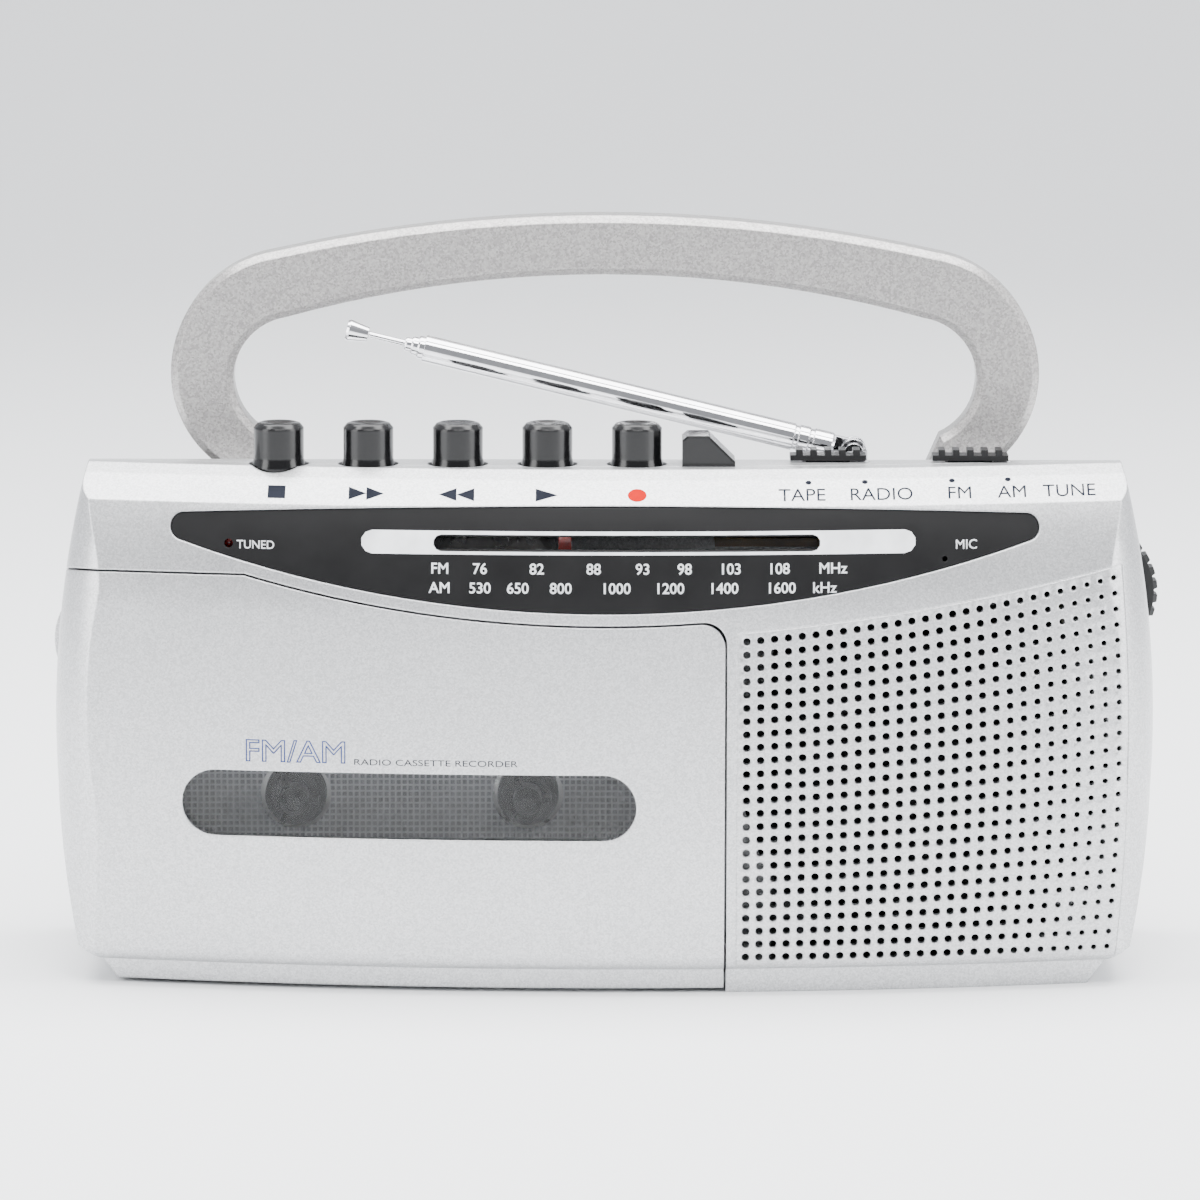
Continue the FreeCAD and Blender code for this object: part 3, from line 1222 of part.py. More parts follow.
tubeStart = 3.8
tubeEnd = tubeStart + s.antennaLength
r1 = s.antennaRadius
outerTube = lean(turned([
    (0, tubeStart), (r1 - 0.4, tubeStart), (r1, tubeStart + 0.5), (r1, 7.6), (r1 - 0.25, 7.8),
    (r1 - 0.25, 8.4), (r1, 8.6), (r1, 10.4), (r1 - 0.25, 10.6), (r1 - 0.25, 11.2), (r1, 11.4),
    (r1, tubeEnd), (r1 - s.antennaWall, tubeEnd), (r1 - s.antennaWall, 12.0), (0, 12.0)],
    (0, 0, 0)))
tongueBlock = block((-2.1, 2.1), (-1.05, 1.05), (0.0, 4.2))
leanTurn = Rotation(Vector(0, -1, 0), 90 - float(s.antennaRise))
tongueBlock.Placement = Placement(pivotPoint + leanTurn.multVec(Vector(-2.1, -1.05, 0)), leanTurn)
tongueEye = rod(2.1, 2.1, (antennaX, s.antennaY - 1.05, antennaZ), "Y")
tongueHole = rod(0.95 + s.fitGap, 6.0, (antennaX, s.antennaY - 3.0, antennaZ), "Y")
node("antenna_tube_1", cut(fuse(outerTube, tongueBlock, tongueEye), tongueHole))
for index in (2, 3, 4):
    radius = s.antennaRadius - s.antennaStep * (index - 1)
    end = tubeEnd + s.collarStep * (index - 1)
    start = 12.0 + 2.0 * index
    node("antenna_tube_%d" % index, lean(turned([
        (radius - s.antennaWall, start), (radius, start), (radius, end - 0.3), (radius - 0.15, end),
        (radius - s.antennaWall, end)], (0, 0, 0))))
rodRadius = s.antennaRadius - s.antennaStep * 4
tip = s.antennaReach
node("antenna_rod", lean(turned([
    (0, 22.0), (rodRadius, 22.0), (rodRadius, 26.0), (0.65, 26.4), (0.65, tip - 4.2), (1.35, tip - 4.1),
    (2.0, tip - 0.5), (1.7, tip), (0, tip)], (0, 0, 0))))

# ------------------------------------------------------------------ check and write
doc.recompute()
problems = []
for item in doc.Objects:
    if "Invalid" in item.State or "Error" in item.State:
        problems.append("%s %s" % (item.Label, item.State))
for item in nodes:
    if item.Shape.isNull() or not item.Shape.isValid():
        problems.append("%s has no valid shape" % item.Label)
if problems:
    raise SystemExit("\n".join(problems))
os.makedirs("parts", exist_ok=True)
for item in nodes:
    item.Shape.exportStep("parts/%s.step" % item.Label)
    count = len(item.Shape.Solids)
    print("%-20s %2d solid(s) %10.1f mm3" % (item.Label, count, item.Shape.Volume))
print(len(nodes), "nodes")
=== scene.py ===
import math

import bmesh
import bpy
import numpy as np
from mathutils import Matrix, Vector


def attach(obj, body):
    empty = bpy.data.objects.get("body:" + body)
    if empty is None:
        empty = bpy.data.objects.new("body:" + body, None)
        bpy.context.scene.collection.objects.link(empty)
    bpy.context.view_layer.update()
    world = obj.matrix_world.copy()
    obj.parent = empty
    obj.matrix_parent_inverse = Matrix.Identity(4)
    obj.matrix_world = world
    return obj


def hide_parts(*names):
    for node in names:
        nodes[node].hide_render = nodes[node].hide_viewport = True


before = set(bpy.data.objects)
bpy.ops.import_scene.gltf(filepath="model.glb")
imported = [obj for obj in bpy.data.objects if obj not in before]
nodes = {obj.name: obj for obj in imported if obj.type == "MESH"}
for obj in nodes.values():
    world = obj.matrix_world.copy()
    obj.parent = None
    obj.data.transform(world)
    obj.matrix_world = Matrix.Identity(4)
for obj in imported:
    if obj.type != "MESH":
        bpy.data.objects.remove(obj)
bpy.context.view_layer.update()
millimetre = 0.001
print("frame loaded:", len(nodes), "nodes")


# camera
# the recorder is seen from the front, a little above its middle

cameraSetup = {
    "place": (-0.0007, -1.331, 0.2693),
    "yaw": -0.00012,
    "pitch": 0.1507,
    "roll": -0.00146,
    "focal": 219.6,
    "sensor": 36.0,
}

cameraData = bpy.data.cameras.new("camera")
cameraData.lens = cameraSetup["focal"]
cameraData.sensor_width = cameraSetup["sensor"]
cameraData.clip_end = 20.0
camera = bpy.data.objects.new("camera", cameraData)
bpy.context.scene.collection.objects.link(camera)
turn = Matrix.Rotation(-cameraSetup["yaw"], 4, "Z") @ Matrix.Rotation(math.pi / 2 - cameraSetup["pitch"], 4, "X")
camera.matrix_world = (Matrix.Translation(cameraSetup["place"]) @ turn
                       @ Matrix.Rotation(-cameraSetup["roll"], 4, "Z"))
bpy.context.scene.camera = camera
print("camera placed")


# studio

studio = {
    "world": (0.93, 0.95, 1.0),
    "worldPower": 1.25,
    "roomPower": 0.5,
    "floorColour": (0.93, 0.94, 0.95),
    "roomEdges": (-0.85, 0.1),
    "lights": [  # name, place, aim, width, height, power
        ("top_light", (0, 0.1, 1.0), (0, 0, 0.05), 1.4, 0.7, 34.0),
        ("front_light", (0.1, -1.0, 1.5), (0, 0, 0.05), 1.2, 0.6, 30.0),
        ("left_light", (-1.0, -0.5, 0.35), (0, 0, 0.07), 0.5, 0.9, 9.0),
        ("right_light", (1.0, -0.4, 0.4), (0, 0, 0.07), 0.5, 0.9, 9.0),
    ],
}

world = bpy.data.worlds.new("studio")
bpy.context.scene.world = world
world.use_nodes = True
backdrop = world.node_tree.nodes["Background"]
backdrop.inputs["Color"].default_value = studio["world"] + (1,)
# the room in front of the table is darker than the studio behind it
direction = world.node_tree.nodes.new("ShaderNodeTexCoord")
directionParts = world.node_tree.nodes.new("ShaderNodeSeparateXYZ")
world.node_tree.links.new(direction.outputs["Generated"], directionParts.inputs["Vector"])
fade = world.node_tree.nodes.new("ShaderNodeMapRange")
fade.interpolation_type = "SMOOTHSTEP"
fade.inputs["From Min"].default_value = studio["roomEdges"][0]
fade.inputs["From Max"].default_value = studio["roomEdges"][1]
fade.inputs["To Min"].default_value = studio["roomPower"]
fade.inputs["To Max"].default_value = studio["worldPower"]
world.node_tree.links.new(directionParts.outputs["Y"], fade.inputs["Value"])
world.node_tree.links.new(fade.outputs["Result"], backdrop.inputs["Strength"])


def softLight(name, place, aim, width, height, power):
    data = bpy.data.lights.new(name, "AREA")
    data.shape = "RECTANGLE"
    data.size = width
    data.size_y = height
    data.energy = power
    lamp = bpy.data.objects.new(name, data)
    bpy.context.scene.collection.objects.link(lamp)
    lamp.matrix_world = (Matrix.Translation(place)
                         @ (Vector(aim) - Vector(place)).to_track_quat("-Z", "Y").to_matrix().to_4x4())


for light in studio["lights"]:
    softLight(*light)
print("lights placed:", len(studio["lights"]))


# materials

def nodeMaterial(name):
    material = bpy.data.materials.new(name)
    material.use_nodes = True
    tree = material.node_tree
    shader = tree.nodes["Principled BSDF"]
    return material, tree, shader


def addNode(tree, kind, **values):
    item = tree.nodes.new(kind)
    for key, value in values.items():
        if hasattr(item, key):
            setattr(item, key, value)
        else:
            item.inputs[key.replace("_", " ")].default_value = value
    return item


def objectCoordinates(tree):
    return tree.nodes.new("ShaderNodeTexCoord").outputs["Object"]


def ramp(tree, source, low, high, start, end):
    item = tree.nodes.new("ShaderNodeValToRGB")
    item.color_ramp.elements[0].position = start
    item.color_ramp.elements[1].position = end
    item.color_ramp.elements[0].color = tuple(low) + (1,)
    item.color_ramp.elements[1].color = tuple(high) + (1,)
    tree.links.new(source, item.inputs["Fac"])
    return item.outputs["Color"]


def noise(tree, scale, detail=3.0, roughness=0.5):
    item = addNode(tree, "ShaderNodeTexNoise", Scale=scale, Detail=detail, Roughness=roughness)
    tree.links.new(objectCoordinates(tree), item.inputs["Vector"])
    return item.outputs["Fac"]


def span(tree, source, low, high, outLow, outHigh):
    item = tree.nodes.new("ShaderNodeMapRange")
    item.inputs["From Min"].default_value = low
    item.inputs["From Max"].default_value = high
    item.inputs["To Min"].default_value = outLow
    item.inputs["To Max"].default_value = outHigh
    tree.links.new(source, item.inputs["Value"])
    return item.outputs["Result"]


def bump(tree, source, distance, strength=1.0, under=None):
    item = addNode(tree, "ShaderNodeBump", Strength=strength, Distance=distance)
    tree.links.new(source, item.inputs["Height"])
    if under:
        tree.links.new(under, item.inputs["Normal"])
    return item.outputs["Normal"]


def softEdge(tree, radius):
    item = addNode(tree, "ShaderNodeBevel", samples=6, Radius=radius)
    return item.outputs["Normal"]


# metallic paint: flakes as tiny Voronoi cells that tilt and brighten, over an even silver
silverPaint = {"dark": (0.46, 0.465, 0.475), "light": (0.66, 0.665, 0.675), "flake": 3800.0, "metal": 0.72,
               "roughness": 0.36}
handlePaint = {"dark": (0.27, 0.26, 0.255), "light": (0.46, 0.445, 0.435), "flake": 3000.0, "metal": 0.72,
               "roughness": 0.38}


def metallicPaint(name, paint):
    material, tree, shader = nodeMaterial(name)
    cells = addNode(tree, "ShaderNodeTexVoronoi", Scale=paint["flake"])
    tree.links.new(objectCoordinates(tree), cells.inputs["Vector"])
    flakes = addNode(tree, "ShaderNodeSeparateColor")
    tree.links.new(cells.outputs["Color"], flakes.inputs["Color"])
    tree.links.new(ramp(tree, flakes.outputs["Red"], paint["dark"], paint["light"], 0.0, 1.0),
                   shader.inputs["Base Color"])
    shader.inputs["Metallic"].default_value = paint["metal"]
    tree.links.new(span(tree, noise(tree, 60.0), 0.3, 0.7, paint["roughness"] - 0.03, paint["roughness"] + 0.03),
                   shader.inputs["Roughness"])
    shader.inputs["Coat Weight"].default_value = 0.35
    shader.inputs["Coat Roughness"].default_value = 0.18
    edge = softEdge(tree, 0.0005)
    tree.links.new(bump(tree, flakes.outputs["Green"], 0.00001, 0.35, edge), shader.inputs["Normal"])
    return material


def plastic(name, colour, roughness, grain=0.0, grainScale=1400.0, coat=0.0, edge=0.0003, shine=0.5):
    material, tree, shader = nodeMaterial(name)
    shader.inputs["Specular IOR Level"].default_value = shine
    deeper = tuple(channel * 0.8 for channel in colour)
    tree.links.new(ramp(tree, noise(tree, 180.0), deeper, colour, 0.35, 0.65), shader.inputs["Base Color"])
    tree.links.new(span(tree, noise(tree, 90.0, 5.0), 0.3, 0.7, roughness * 0.85, roughness * 1.15),
                   shader.inputs["Roughness"])
    shader.inputs["Coat Weight"].default_value = coat
    shader.inputs["Coat Roughness"].default_value = 0.05
    rounded = softEdge(tree, edge)
    if grain:
        rounded = bump(tree, noise(tree, grainScale, 2.0), grain, 0.6, rounded)
    tree.links.new(rounded, shader.inputs["Normal"])
    return material


def metal(name, colour, roughness, lines=0.0, edge=0.0002):
    material, tree, shader = nodeMaterial(name)
    deeper = tuple(channel * 0.86 for channel in colour)
    tree.links.new(ramp(tree, noise(tree, 240.0), deeper, colour, 0.3, 0.7), shader.inputs["Base Color"])
    shader.inputs["Metallic"].default_value = 1.0
    tree.links.new(span(tree, noise(tree, 400.0, 4.0), 0.3, 0.7, roughness * 0.8, roughness * 1.2),
                   shader.inputs["Roughness"])
    rounded = softEdge(tree, edge)
    if lines:
        rounded = bump(tree, noise(tree, 2500.0, 2.0), lines, 0.5, rounded)
    tree.links.new(rounded, shader.inputs["Normal"])
    return material


def clearPlastic(name, tint, roughness, weight):
    material, tree, shader = nodeMaterial(name)
    shader.inputs["Transmission Weight"].default_value = weight
    shader.inputs["IOR"].default_value = 1.3
    tree.links.new(ramp(tree, noise(tree, 60.0), tuple(channel * 0.94 for channel in tint), tint, 0.3, 0.7),
                   shader.inputs["Base Color"])
    tree.links.new(span(tree, noise(tree, 30.0), 0.3, 0.7, roughness * 0.7, roughness * 1.3),
                   shader.inputs["Roughness"])
    return material


# fine woven lines pressed into the plate behind the cassette
bayPlate = {"dark": (0.26, 0.26, 0.265), "light": (0.62, 0.62, 0.63), "pitch": 0.0011}


def griddedPlate(name, plate):
    material, tree, shader = nodeMaterial(name)
    parts = addNode(tree, "ShaderNodeSeparateXYZ")
    tree.links.new(objectCoordinates(tree), parts.inputs["Vector"])
    waves = []
    for axis in ("X", "Z"):
        scaled = addNode(tree, "ShaderNodeMath", operation="MULTIPLY")
        scaled.inputs[1].default_value = 2 * math.pi / plate["pitch"]
        tree.links.new(parts.outputs[axis], scaled.inputs[0])
        wave = addNode(tree, "ShaderNodeMath", operation="SINE")
        tree.links.new(scaled.outputs[0], wave.inputs[0])
        waves.append(wave.outputs[0])
    both = addNode(tree, "ShaderNodeMath", operation="MAXIMUM")
    tree.links.new(waves[0], both.inputs[0])
    tree.links.new(waves[1], both.inputs[1])
    tree.links.new(ramp(tree, both.outputs[0], plate["dark"], plate["light"], 0.2, 0.95),
                   shader.inputs["Base Color"])
    shader.inputs["Roughness"].default_value = 0.5
    tree.links.new(bump(tree, both.outputs[0], 0.0001, 0.6), shader.inputs["Normal"])
    return material


materials = {
    "silver": metallicPaint("silver_paint", silverPaint),
    "handle": metallicPaint("handle_paint", handlePaint),
    "dialBlack": plastic("dial_black", (0.006, 0.006, 0.0065), 0.5, 0.00001, shine=0.2),
    "glossBlack": plastic("gloss_black", (0.004, 0.004, 0.0045), 0.16, edge=0.0006, shine=0.45),
    "mattBlack": plastic("matt_black", (0.008, 0.008, 0.0085), 0.42, 0.00002, shine=0.3),
    "clear": clearPlastic("clear_lens", (0.96, 0.97, 0.98), 0.03, 1.0),
    "smoke": clearPlastic("smoked_window", (0.74, 0.75, 0.77), 0.04, 1.0),
    "chrome": metal("chrome", (0.86, 0.86, 0.88), 0.06),
    "steel": metal("zinc_plate", (0.62, 0.61, 0.58), 0.3, 0.00001),
    "brass": metal("turned_brass", (0.72, 0.56, 0.27), 0.25, 0.00001),
    "laminate": metal("laminated_iron", (0.32, 0.32, 0.34), 0.45, 0.00004),
    "board": plastic("phenolic_board", (0.30, 0.17, 0.06), 0.5, 0.00002),
    "ferrite": plastic("ferrite", (0.035, 0.032, 0.032), 0.6, 0.00004),
    "ivory": plastic("ivory_plastic", (0.62, 0.60, 0.50), 0.35),
    "paper": plastic("paper_cone", (0.03, 0.03, 0.03), 0.8, 0.00006),
    "rubber": plastic("rubber", (0.018, 0.018, 0.018), 0.7, 0.00003),
    "thread": plastic("waxed_thread", (0.55, 0.50, 0.38), 0.7, 0.00005),
    "red": plastic("pointer_red", (0.62, 0.035, 0.02), 0.3, coat=0.3),
    "lamp": plastic("lamp_red", (0.16, 0.01, 0.01), 0.1, coat=0.5),
    "bay": griddedPlate("bay_plate", bayPlate),
    "white": plastic("white_plastic", (0.86, 0.88, 0.90), 0.6, shine=0.1),
    # painted shade: this near-black finish is put on the speaker frame so that the grille holes read dark,
    # standing in for the shade inside the cabinet
    "cone": plastic("frame_painted_shade_black", (0.012, 0.012, 0.012), 0.6, shine=0.2),
    "ink": plastic("grey_ink", (0.02, 0.022, 0.03), 0.8, shine=0.0),
    "blueInk": plastic("blue_ink", (0.05, 0.08, 0.26), 0.8, shine=0.0),
    "redInk": plastic("red_ink", (0.50, 0.01, 0.008), 0.8, shine=0.0),
}

finishes = {
    "silver": ["front_cabinet", "rear_cabinet", "cassette_door", "battery_cover"],
    "handle": ["handle"],
    "dialBlack": ["dial_panel"],
    "glossBlack": ["key_stop", "key_forward", "key_rewind", "key_play", "key_record", "hump_block"],
    "mattBlack": ["function_slider", "band_slider", "tuning_knob", "volume_wheel", "slide_switches",
                  "cassette_holder", "mains_inlet", "headphone_jack", "take_up_spindle", "supply_spindle",
                  "volume_control", "microphone"],
    "clear": ["dial_lens"],
    "smoke": ["door_window"],
    "chrome": ["antenna_base", "antenna_screw", "antenna_tube_1", "antenna_tube_2", "antenna_tube_3",
               "antenna_tube_4", "antenna_rod", "tape_heads"],
    "steel": ["case_screws", "handle_pins", "mechanism_chassis", "motor", "arm_post", "pinch_arm",
              "head_bridge", "battery_contacts"],
    # painted shade: the speaker frame behind the grille takes the near-black finish, so the holes show dark
    "cone": ["speaker_frame"],
    "laminate": ["transformer"],
    "brass": ["flywheel", "motor_pulley"],
    "board": ["circuit_board"],
    "ferrite": ["ferrite_rod", "speaker_magnet"],
    "ivory": ["tuning_capacitor", "cord_pulleys"],
    "paper": ["speaker_cone"],
    "rubber": ["drive_belt", "pinch_roller"],
    "thread": ["dial_cord"],
    "red": ["dial_pointer"],
    "lamp": ["tuned_lamp"],
    "bay": ["deck_plate"],
}


def paint(piece, finish):
    piece.data.materials.clear()
    piece.data.materials.append(materials[finish])


for finish, names in finishes.items():
    for name in names:
        paint(nodes[name], finish)
print("materials set:", len(materials))


# front surface
# The front is turned about an upright axis far behind it. A middle profile gives its depth at each level.

shape = {
    "bowRadius": 420.0,
    "front": -36.5,
    "dialBottom": 70.0,
    "halfWidth": 100.0,
    "waist": 47.0,
    "sideBow": 190.0,
    "cornerFoot": 12.6,
    "cornerWaist": 14.0,
    "cornerX": 86.0,
    "cornerY": -14.1,
}


def throughThree(values, a, b, c):
    # the circle through three (level, depth) points, read at the given levels
    (z1, y1), (z2, y2), (z3, y3) = a, b, c
    d = 2 * (z1 * (y2 - y3) + z2 * (y3 - y1) + z3 * (y1 - y2))
    s1, s2, s3 = z1 * z1 + y1 * y1, z2 * z2 + y2 * y2, z3 * z3 + y3 * y3
    zc = (s1 * (y2 - y3) + s2 * (y3 - y1) + s3 * (y1 - y2)) / d
    yc = (s1 * (z3 - z2) + s2 * (z1 - z3) + s3 * (z2 - z1)) / d
    radius = math.hypot(z1 - zc, y1 - yc)
    side = 1 if yc < y2 else -1
    return yc + side * np.sqrt(radius ** 2 - (values - zc) ** 2)


def middleDepth(z):
    # foot arc, bowed face, dial band and label slope, one above the other
    z = np.asarray(z, float)
    face = throughThree(np.clip(z, 8, 70), (8.0, -35.4), (40.0, -36.5), (70.0, -35.5))
    band = throughThree(np.clip(z, 70, 88.6), (70.0, -35.5), (79.3, -33.94), (88.6, -30.5))
    foot = throughThree(np.clip(z, 4.5, 8), (4.5, -31.5), (5.6, -34.4), (8.0, -35.4))
    slope = -30.5 + (np.clip(z, 88.6, 92.6) - 88.6) * (6.5 / 4.0)
    return np.select([z < 8, z < 70, z < 88.6], [foot, face, band], slope)


def sideReach(z):
    # the barrelled side: a circle of radius sideBow, widest at the waist
    bow = shape["sideBow"]
    return shape["halfWidth"] - bow + np.sqrt(bow ** 2 - (np.asarray(z, float) - shape["waist"]) ** 2)


def frontDepth(x, z):
    # the bowed face, and the rounded corner where that stands further back
    x = np.asarray(x, float)
    z = np.asarray(z, float)
    axis = shape["front"] + shape["bowRadius"]
    bowed = axis - np.sqrt((axis - middleDepth(z)) ** 2 - x ** 2)
    lower = shape["cornerFoot"] + (shape["cornerWaist"] - shape["cornerFoot"]) * z / shape["waist"]
    radius = np.where(z > shape["waist"], sideReach(z) - shape["cornerX"], lower)
    out = np.clip(np.abs(x) - shape["cornerX"], 0, None)
    corner = shape["cornerY"] - np.sqrt(np.clip(radius ** 2 - out ** 2, 0, None))
    return np.where(out > 0, np.maximum(bowed, corner), bowed)


def meshObject(name, vertices, faces, finish, body, smooth=True):
    mesh = bpy.data.meshes.new(name)
    mesh.from_pydata(np.asarray(vertices).tolist(), [], np.asarray(faces).tolist())
    mesh.update()
    mesh.polygons.foreach_set("use_smooth", [smooth] * len(mesh.polygons))
    piece = bpy.data.objects.new(name, mesh)
    bpy.context.scene.collection.objects.link(piece)
    paint(piece, finish)
    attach(piece, body)
    return piece


# speaker grille
# A warped net of cells, one round hole in each. The net's rows and columns blend between the four
# edges of the perforated part (a Coons patch), and each cell joins its own border to its hole.

grille = {
    "columns": 28,
    "rows": 25,
    "left": 23.8,
    "right": 94.8,
    "bottom": 5.6,
    "holeRadius": 0.70,
    "smallHole": 0.48,
    "thickness": 2.2,
    "margin": 0.45,
    "steps": 4,
}


def arcPoint(t, a, b, c):
    # parabola through three points, close to the shallow arc through them, at share t of the way
    a, b, c = np.array(a), np.array(b), np.array(c)
    t = np.asarray(t, float)[..., None]
    share = np.linalg.norm(b - a) / (np.linalg.norm(b - a) + np.linalg.norm(c - b))
    control = (b - (1 - share) ** 2 * a - share ** 2 * c) / (2 * share * (1 - share))
    return (1 - t) ** 2 * a + 2 * t * (1 - t) * control + t ** 2 * c


def netPoint(u, v):
    # u runs left to right, v bottom to top, both 0 to 1
    x0, x1, z0 = grille["left"], grille["right"], grille["bottom"]
    rise = shape["dialBottom"]
    lowRight, highRight = (x1 - 2.0, z0), (x1 - 1.5, rise + 7.4)
    lowLeft, highLeft = (x0, z0), (x0, rise - 3.6)
    bottom = arcPoint(u, lowLeft, ((x0 + x1 - 2.0) / 2, z0), lowRight)
    top = arcPoint(u, highLeft, ((x0 + x1) / 2, rise + 0.6), highRight)
    leftEdge = arcPoint(v, lowLeft, (x0, (z0 + rise - 3.6) / 2), highLeft)
    rightEdge = arcPoint(v, lowRight, (x1, 47.0), highRight)
    u = np.asarray(u, float)[..., None]
    v = np.asarray(v, float)[..., None]
    corners = ((1 - u) * (1 - v) * np.array(lowLeft) + u * (1 - v) * np.array(lowRight)
               + (1 - u) * v * np.array(highLeft) + u * v * np.array(highRight))
    return (1 - v) * bottom + v * top + (1 - u) * leftEdge + u * rightEdge - corners


def cellEdges(count, reach):
    # equal cells, with a plain margin added to the first and the last
    inner = np.linspace(grille["margin"] / reach, 1 - grille["margin"] / reach, count + 1)
    return np.concatenate(([0.0], inner[1:-1], [1.0])), (inner[:-1] + inner[1:]) / 2


def makeGrille():
    columns, rows, steps = grille["columns"], grille["rows"], grille["steps"]
    uEdges, uCentres = cellEdges(columns, 70.0)
    vEdges, vCentres = cellEdges(rows, 64.0)
    share = np.arange(steps) / steps
    zero = np.zeros(steps)
    borderU = np.concatenate((share, zero + 1, 1 - share, zero))
    borderV = np.concatenate((zero, share, zero + 1, 1 - share))
    count = 4 * steps
    u0, v0 = np.meshgrid(uEdges[:-1], vEdges[:-1])
    u1, v1 = np.meshgrid(uEdges[1:], vEdges[1:])
    uc, vc = np.meshgrid(uCentres, vCentres)
    u = u0[..., None] + (u1 - u0)[..., None] * borderU
    v = v0[..., None] + (v1 - v0)[..., None] * borderV
    border = netPoint(u, v)
    centre = netPoint(uc, vc)
    fade = np.clip((uc - 0.55) / 0.35, 0, 1) ** 1.5
    radius = grille["holeRadius"] + (grille["smallHole"] - grille["holeRadius"]) * fade
    direction = border - centre[..., None, :]
    angle = np.arctan2(direction[..., 1], direction[..., 0])
    hole = centre[..., None, :] + radius[..., None, None] * np.stack((np.cos(angle), np.sin(angle)), -1)
    middle = hole + (border - hole) * 0.12
    rings = np.stack((border, middle, hole), 2)
    depth = frontDepth(rings[..., 0], rings[..., 1])
    front = np.stack((rings[..., 0], depth, rings[..., 1]), -1)
    lip = front[:, :, 2:3].copy()
    front[:, :, 2, :, 1] += 0.12
    back = lip.copy()
    back[..., 1] += grille["thickness"]
    rim = front[:, :, 0:1].copy()
    rim[..., 1] += grille["thickness"]
    vertices = np.concatenate((front, back, rim), 2) * millimetre
    ringCount = vertices.shape[2]
    base = (np.arange(rows * columns) * ringCount * count)[:, None, None]
    here = np.arange(count)
    after = (here + 1) % count
    faces = []
    for first in range(ringCount - 1):
        quad = np.stack((first * count + here, first * count + after,
                         (first + 1) * count + after, (first + 1) * count + here), -1)
        faces.append(base + quad[None])
    faces = np.concatenate(faces, 1).reshape(-1, 4)
    piece = meshObject("perforated_grille", vertices.reshape(-1, 3), faces, "silver", "cabinet")
    closeMesh(piece, 0.00002)
    return piece


def closeMesh(piece, distance):
    work = bmesh.new()
    work.from_mesh(piece.data)
    bmesh.ops.remove_doubles(work, verts=work.verts, dist=distance)
    bmesh.ops.bridge_loops(work, edges=[edge for edge in work.edges if edge.is_boundary])
    bmesh.ops.recalc_face_normals(work, faces=work.faces)
    work.to_mesh(piece.data)
    work.free()
    piece.data.set_sharp_from_angle(angle=math.radians(40))


grillePiece = makeGrille()
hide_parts("speaker_grille")
print("grille made:", len(grillePiece.data.polygons), "faces")


# printing
# Flat shapes are cut in fine steps and laid on the surface that carries them.

def layOn(points, lift):
    # (x, level) points laid on the front surface, a little proud of it
    depth = frontDepth(points[:, 0], points[:, 1]) - lift
    return np.stack((points[:, 0], depth, points[:, 1]), -1) * millimetre


def printedPatch(name, outline, finish, body, lift, grid=1.5):
    # a filled outline, divided on a square net so that it can follow the curve
    work = bmesh.new()
    corners = [work.verts.new((x, z, 0)) for x, z in outline]
    work.faces.new(corners)
    lows = np.floor(np.min(outline, 0) / grid) * grid
    highs = np.max(outline, 0)
    for axis in (0, 1):
        for cutAt in np.arange(lows[axis] + grid, highs[axis], grid):
            place = [0.0, 0.0, 0.0]
            place[axis] = cutAt
            normal = [0.0, 0.0, 0.0]
            normal[axis] = 1.0
            bmesh.ops.bisect_plane(work, geom=work.verts[:] + work.edges[:] + work.faces[:],
                                   plane_co=place, plane_no=normal)
    mesh = bpy.data.meshes.new(name)
    work.to_mesh(mesh)
    work.free()
    return finishPrint(name, mesh, finish, body, lift)


def finishPrint(name, mesh, finish, body, lift):
    flat = np.empty(len(mesh.vertices) * 3)
    mesh.vertices.foreach_get("co", flat)
    flat = flat.reshape(-1, 3)
    mesh.vertices.foreach_set("co", layOn(flat[:, :2], lift + flat[:, 2]).ravel())
    mesh.update()
    piece = bpy.data.objects.new(name, mesh)
    bpy.context.scene.collection.objects.link(piece)
    paint(piece, finish)
    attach(piece, body)
    return piece


capitalShare = 0.73  # height of a capital letter over the font's size


def printedText(name, words, x, z, height, finish, body, lift, align="CENTER", wide=1.0, stroke=0.0,
                filled=False):
    # letters as a flat curve, turned into a mesh, then laid on the surface
    curve = bpy.data.curves.new(name, "FONT")
    curve.body = words
    curve.size = height / capitalShare
    curve.align_x = align
    curve.resolution_u = 4
    if stroke:
        curve.fill_mode = "BOTH" if filled else "NONE"
        curve.bevel_depth = stroke
        curve.bevel_resolution = 0
    helper = bpy.data.objects.new(name + "_flat", curve)
    bpy.context.scene.collection.objects.link(helper)
    bpy.context.view_layer.update()
    mesh = bpy.data.meshes.new_from_object(helper)
    bpy.data.objects.remove(helper)
    flat = np.empty(len(mesh.vertices) * 3)
    mesh.vertices.foreach_get("co", flat)
    flat = flat.reshape(-1, 3)
    flat[:, 0] = flat[:, 0] * wide + x
    flat[:, 1] += z
    mesh.vertices.foreach_set("co", flat.ravel())
    return finishPrint(name, mesh, finish, body, lift)


def roundedBar(x0, x1, z0, z1):
    # a bar with half-round ends
    radius = (z1 - z0) / 2
    turnBy = np.linspace(-math.pi / 2, math.pi / 2, 17)
    rightEnd = np.stack((x1 - radius + radius * np.cos(turnBy), z0 + radius + radius * np.sin(turnBy)), -1)
    leftEnd = np.stack((x0 + radius - radius * np.cos(turnBy), z0 + radius - radius * np.sin(turnBy)), -1)
    return np.concatenate((rightEnd, leftEnd))


def frameOf(outer, inner, rings=9):
    # the ring between two outlines with the same number of points, in strips narrow enough to follow the curve
    count = len(outer)
    share = np.linspace(0, 1, rings)[:, None, None]
    points = (outer * (1 - share) + inner * share).reshape(-1, 2)
    here = np.arange(count)
    after = (here + 1) % count
    first = np.stack((here, after, count + after, count + here), -1)
    return points, (first[None] + count * np.arange(rings - 1)[:, None, None]).reshape(-1, 4)


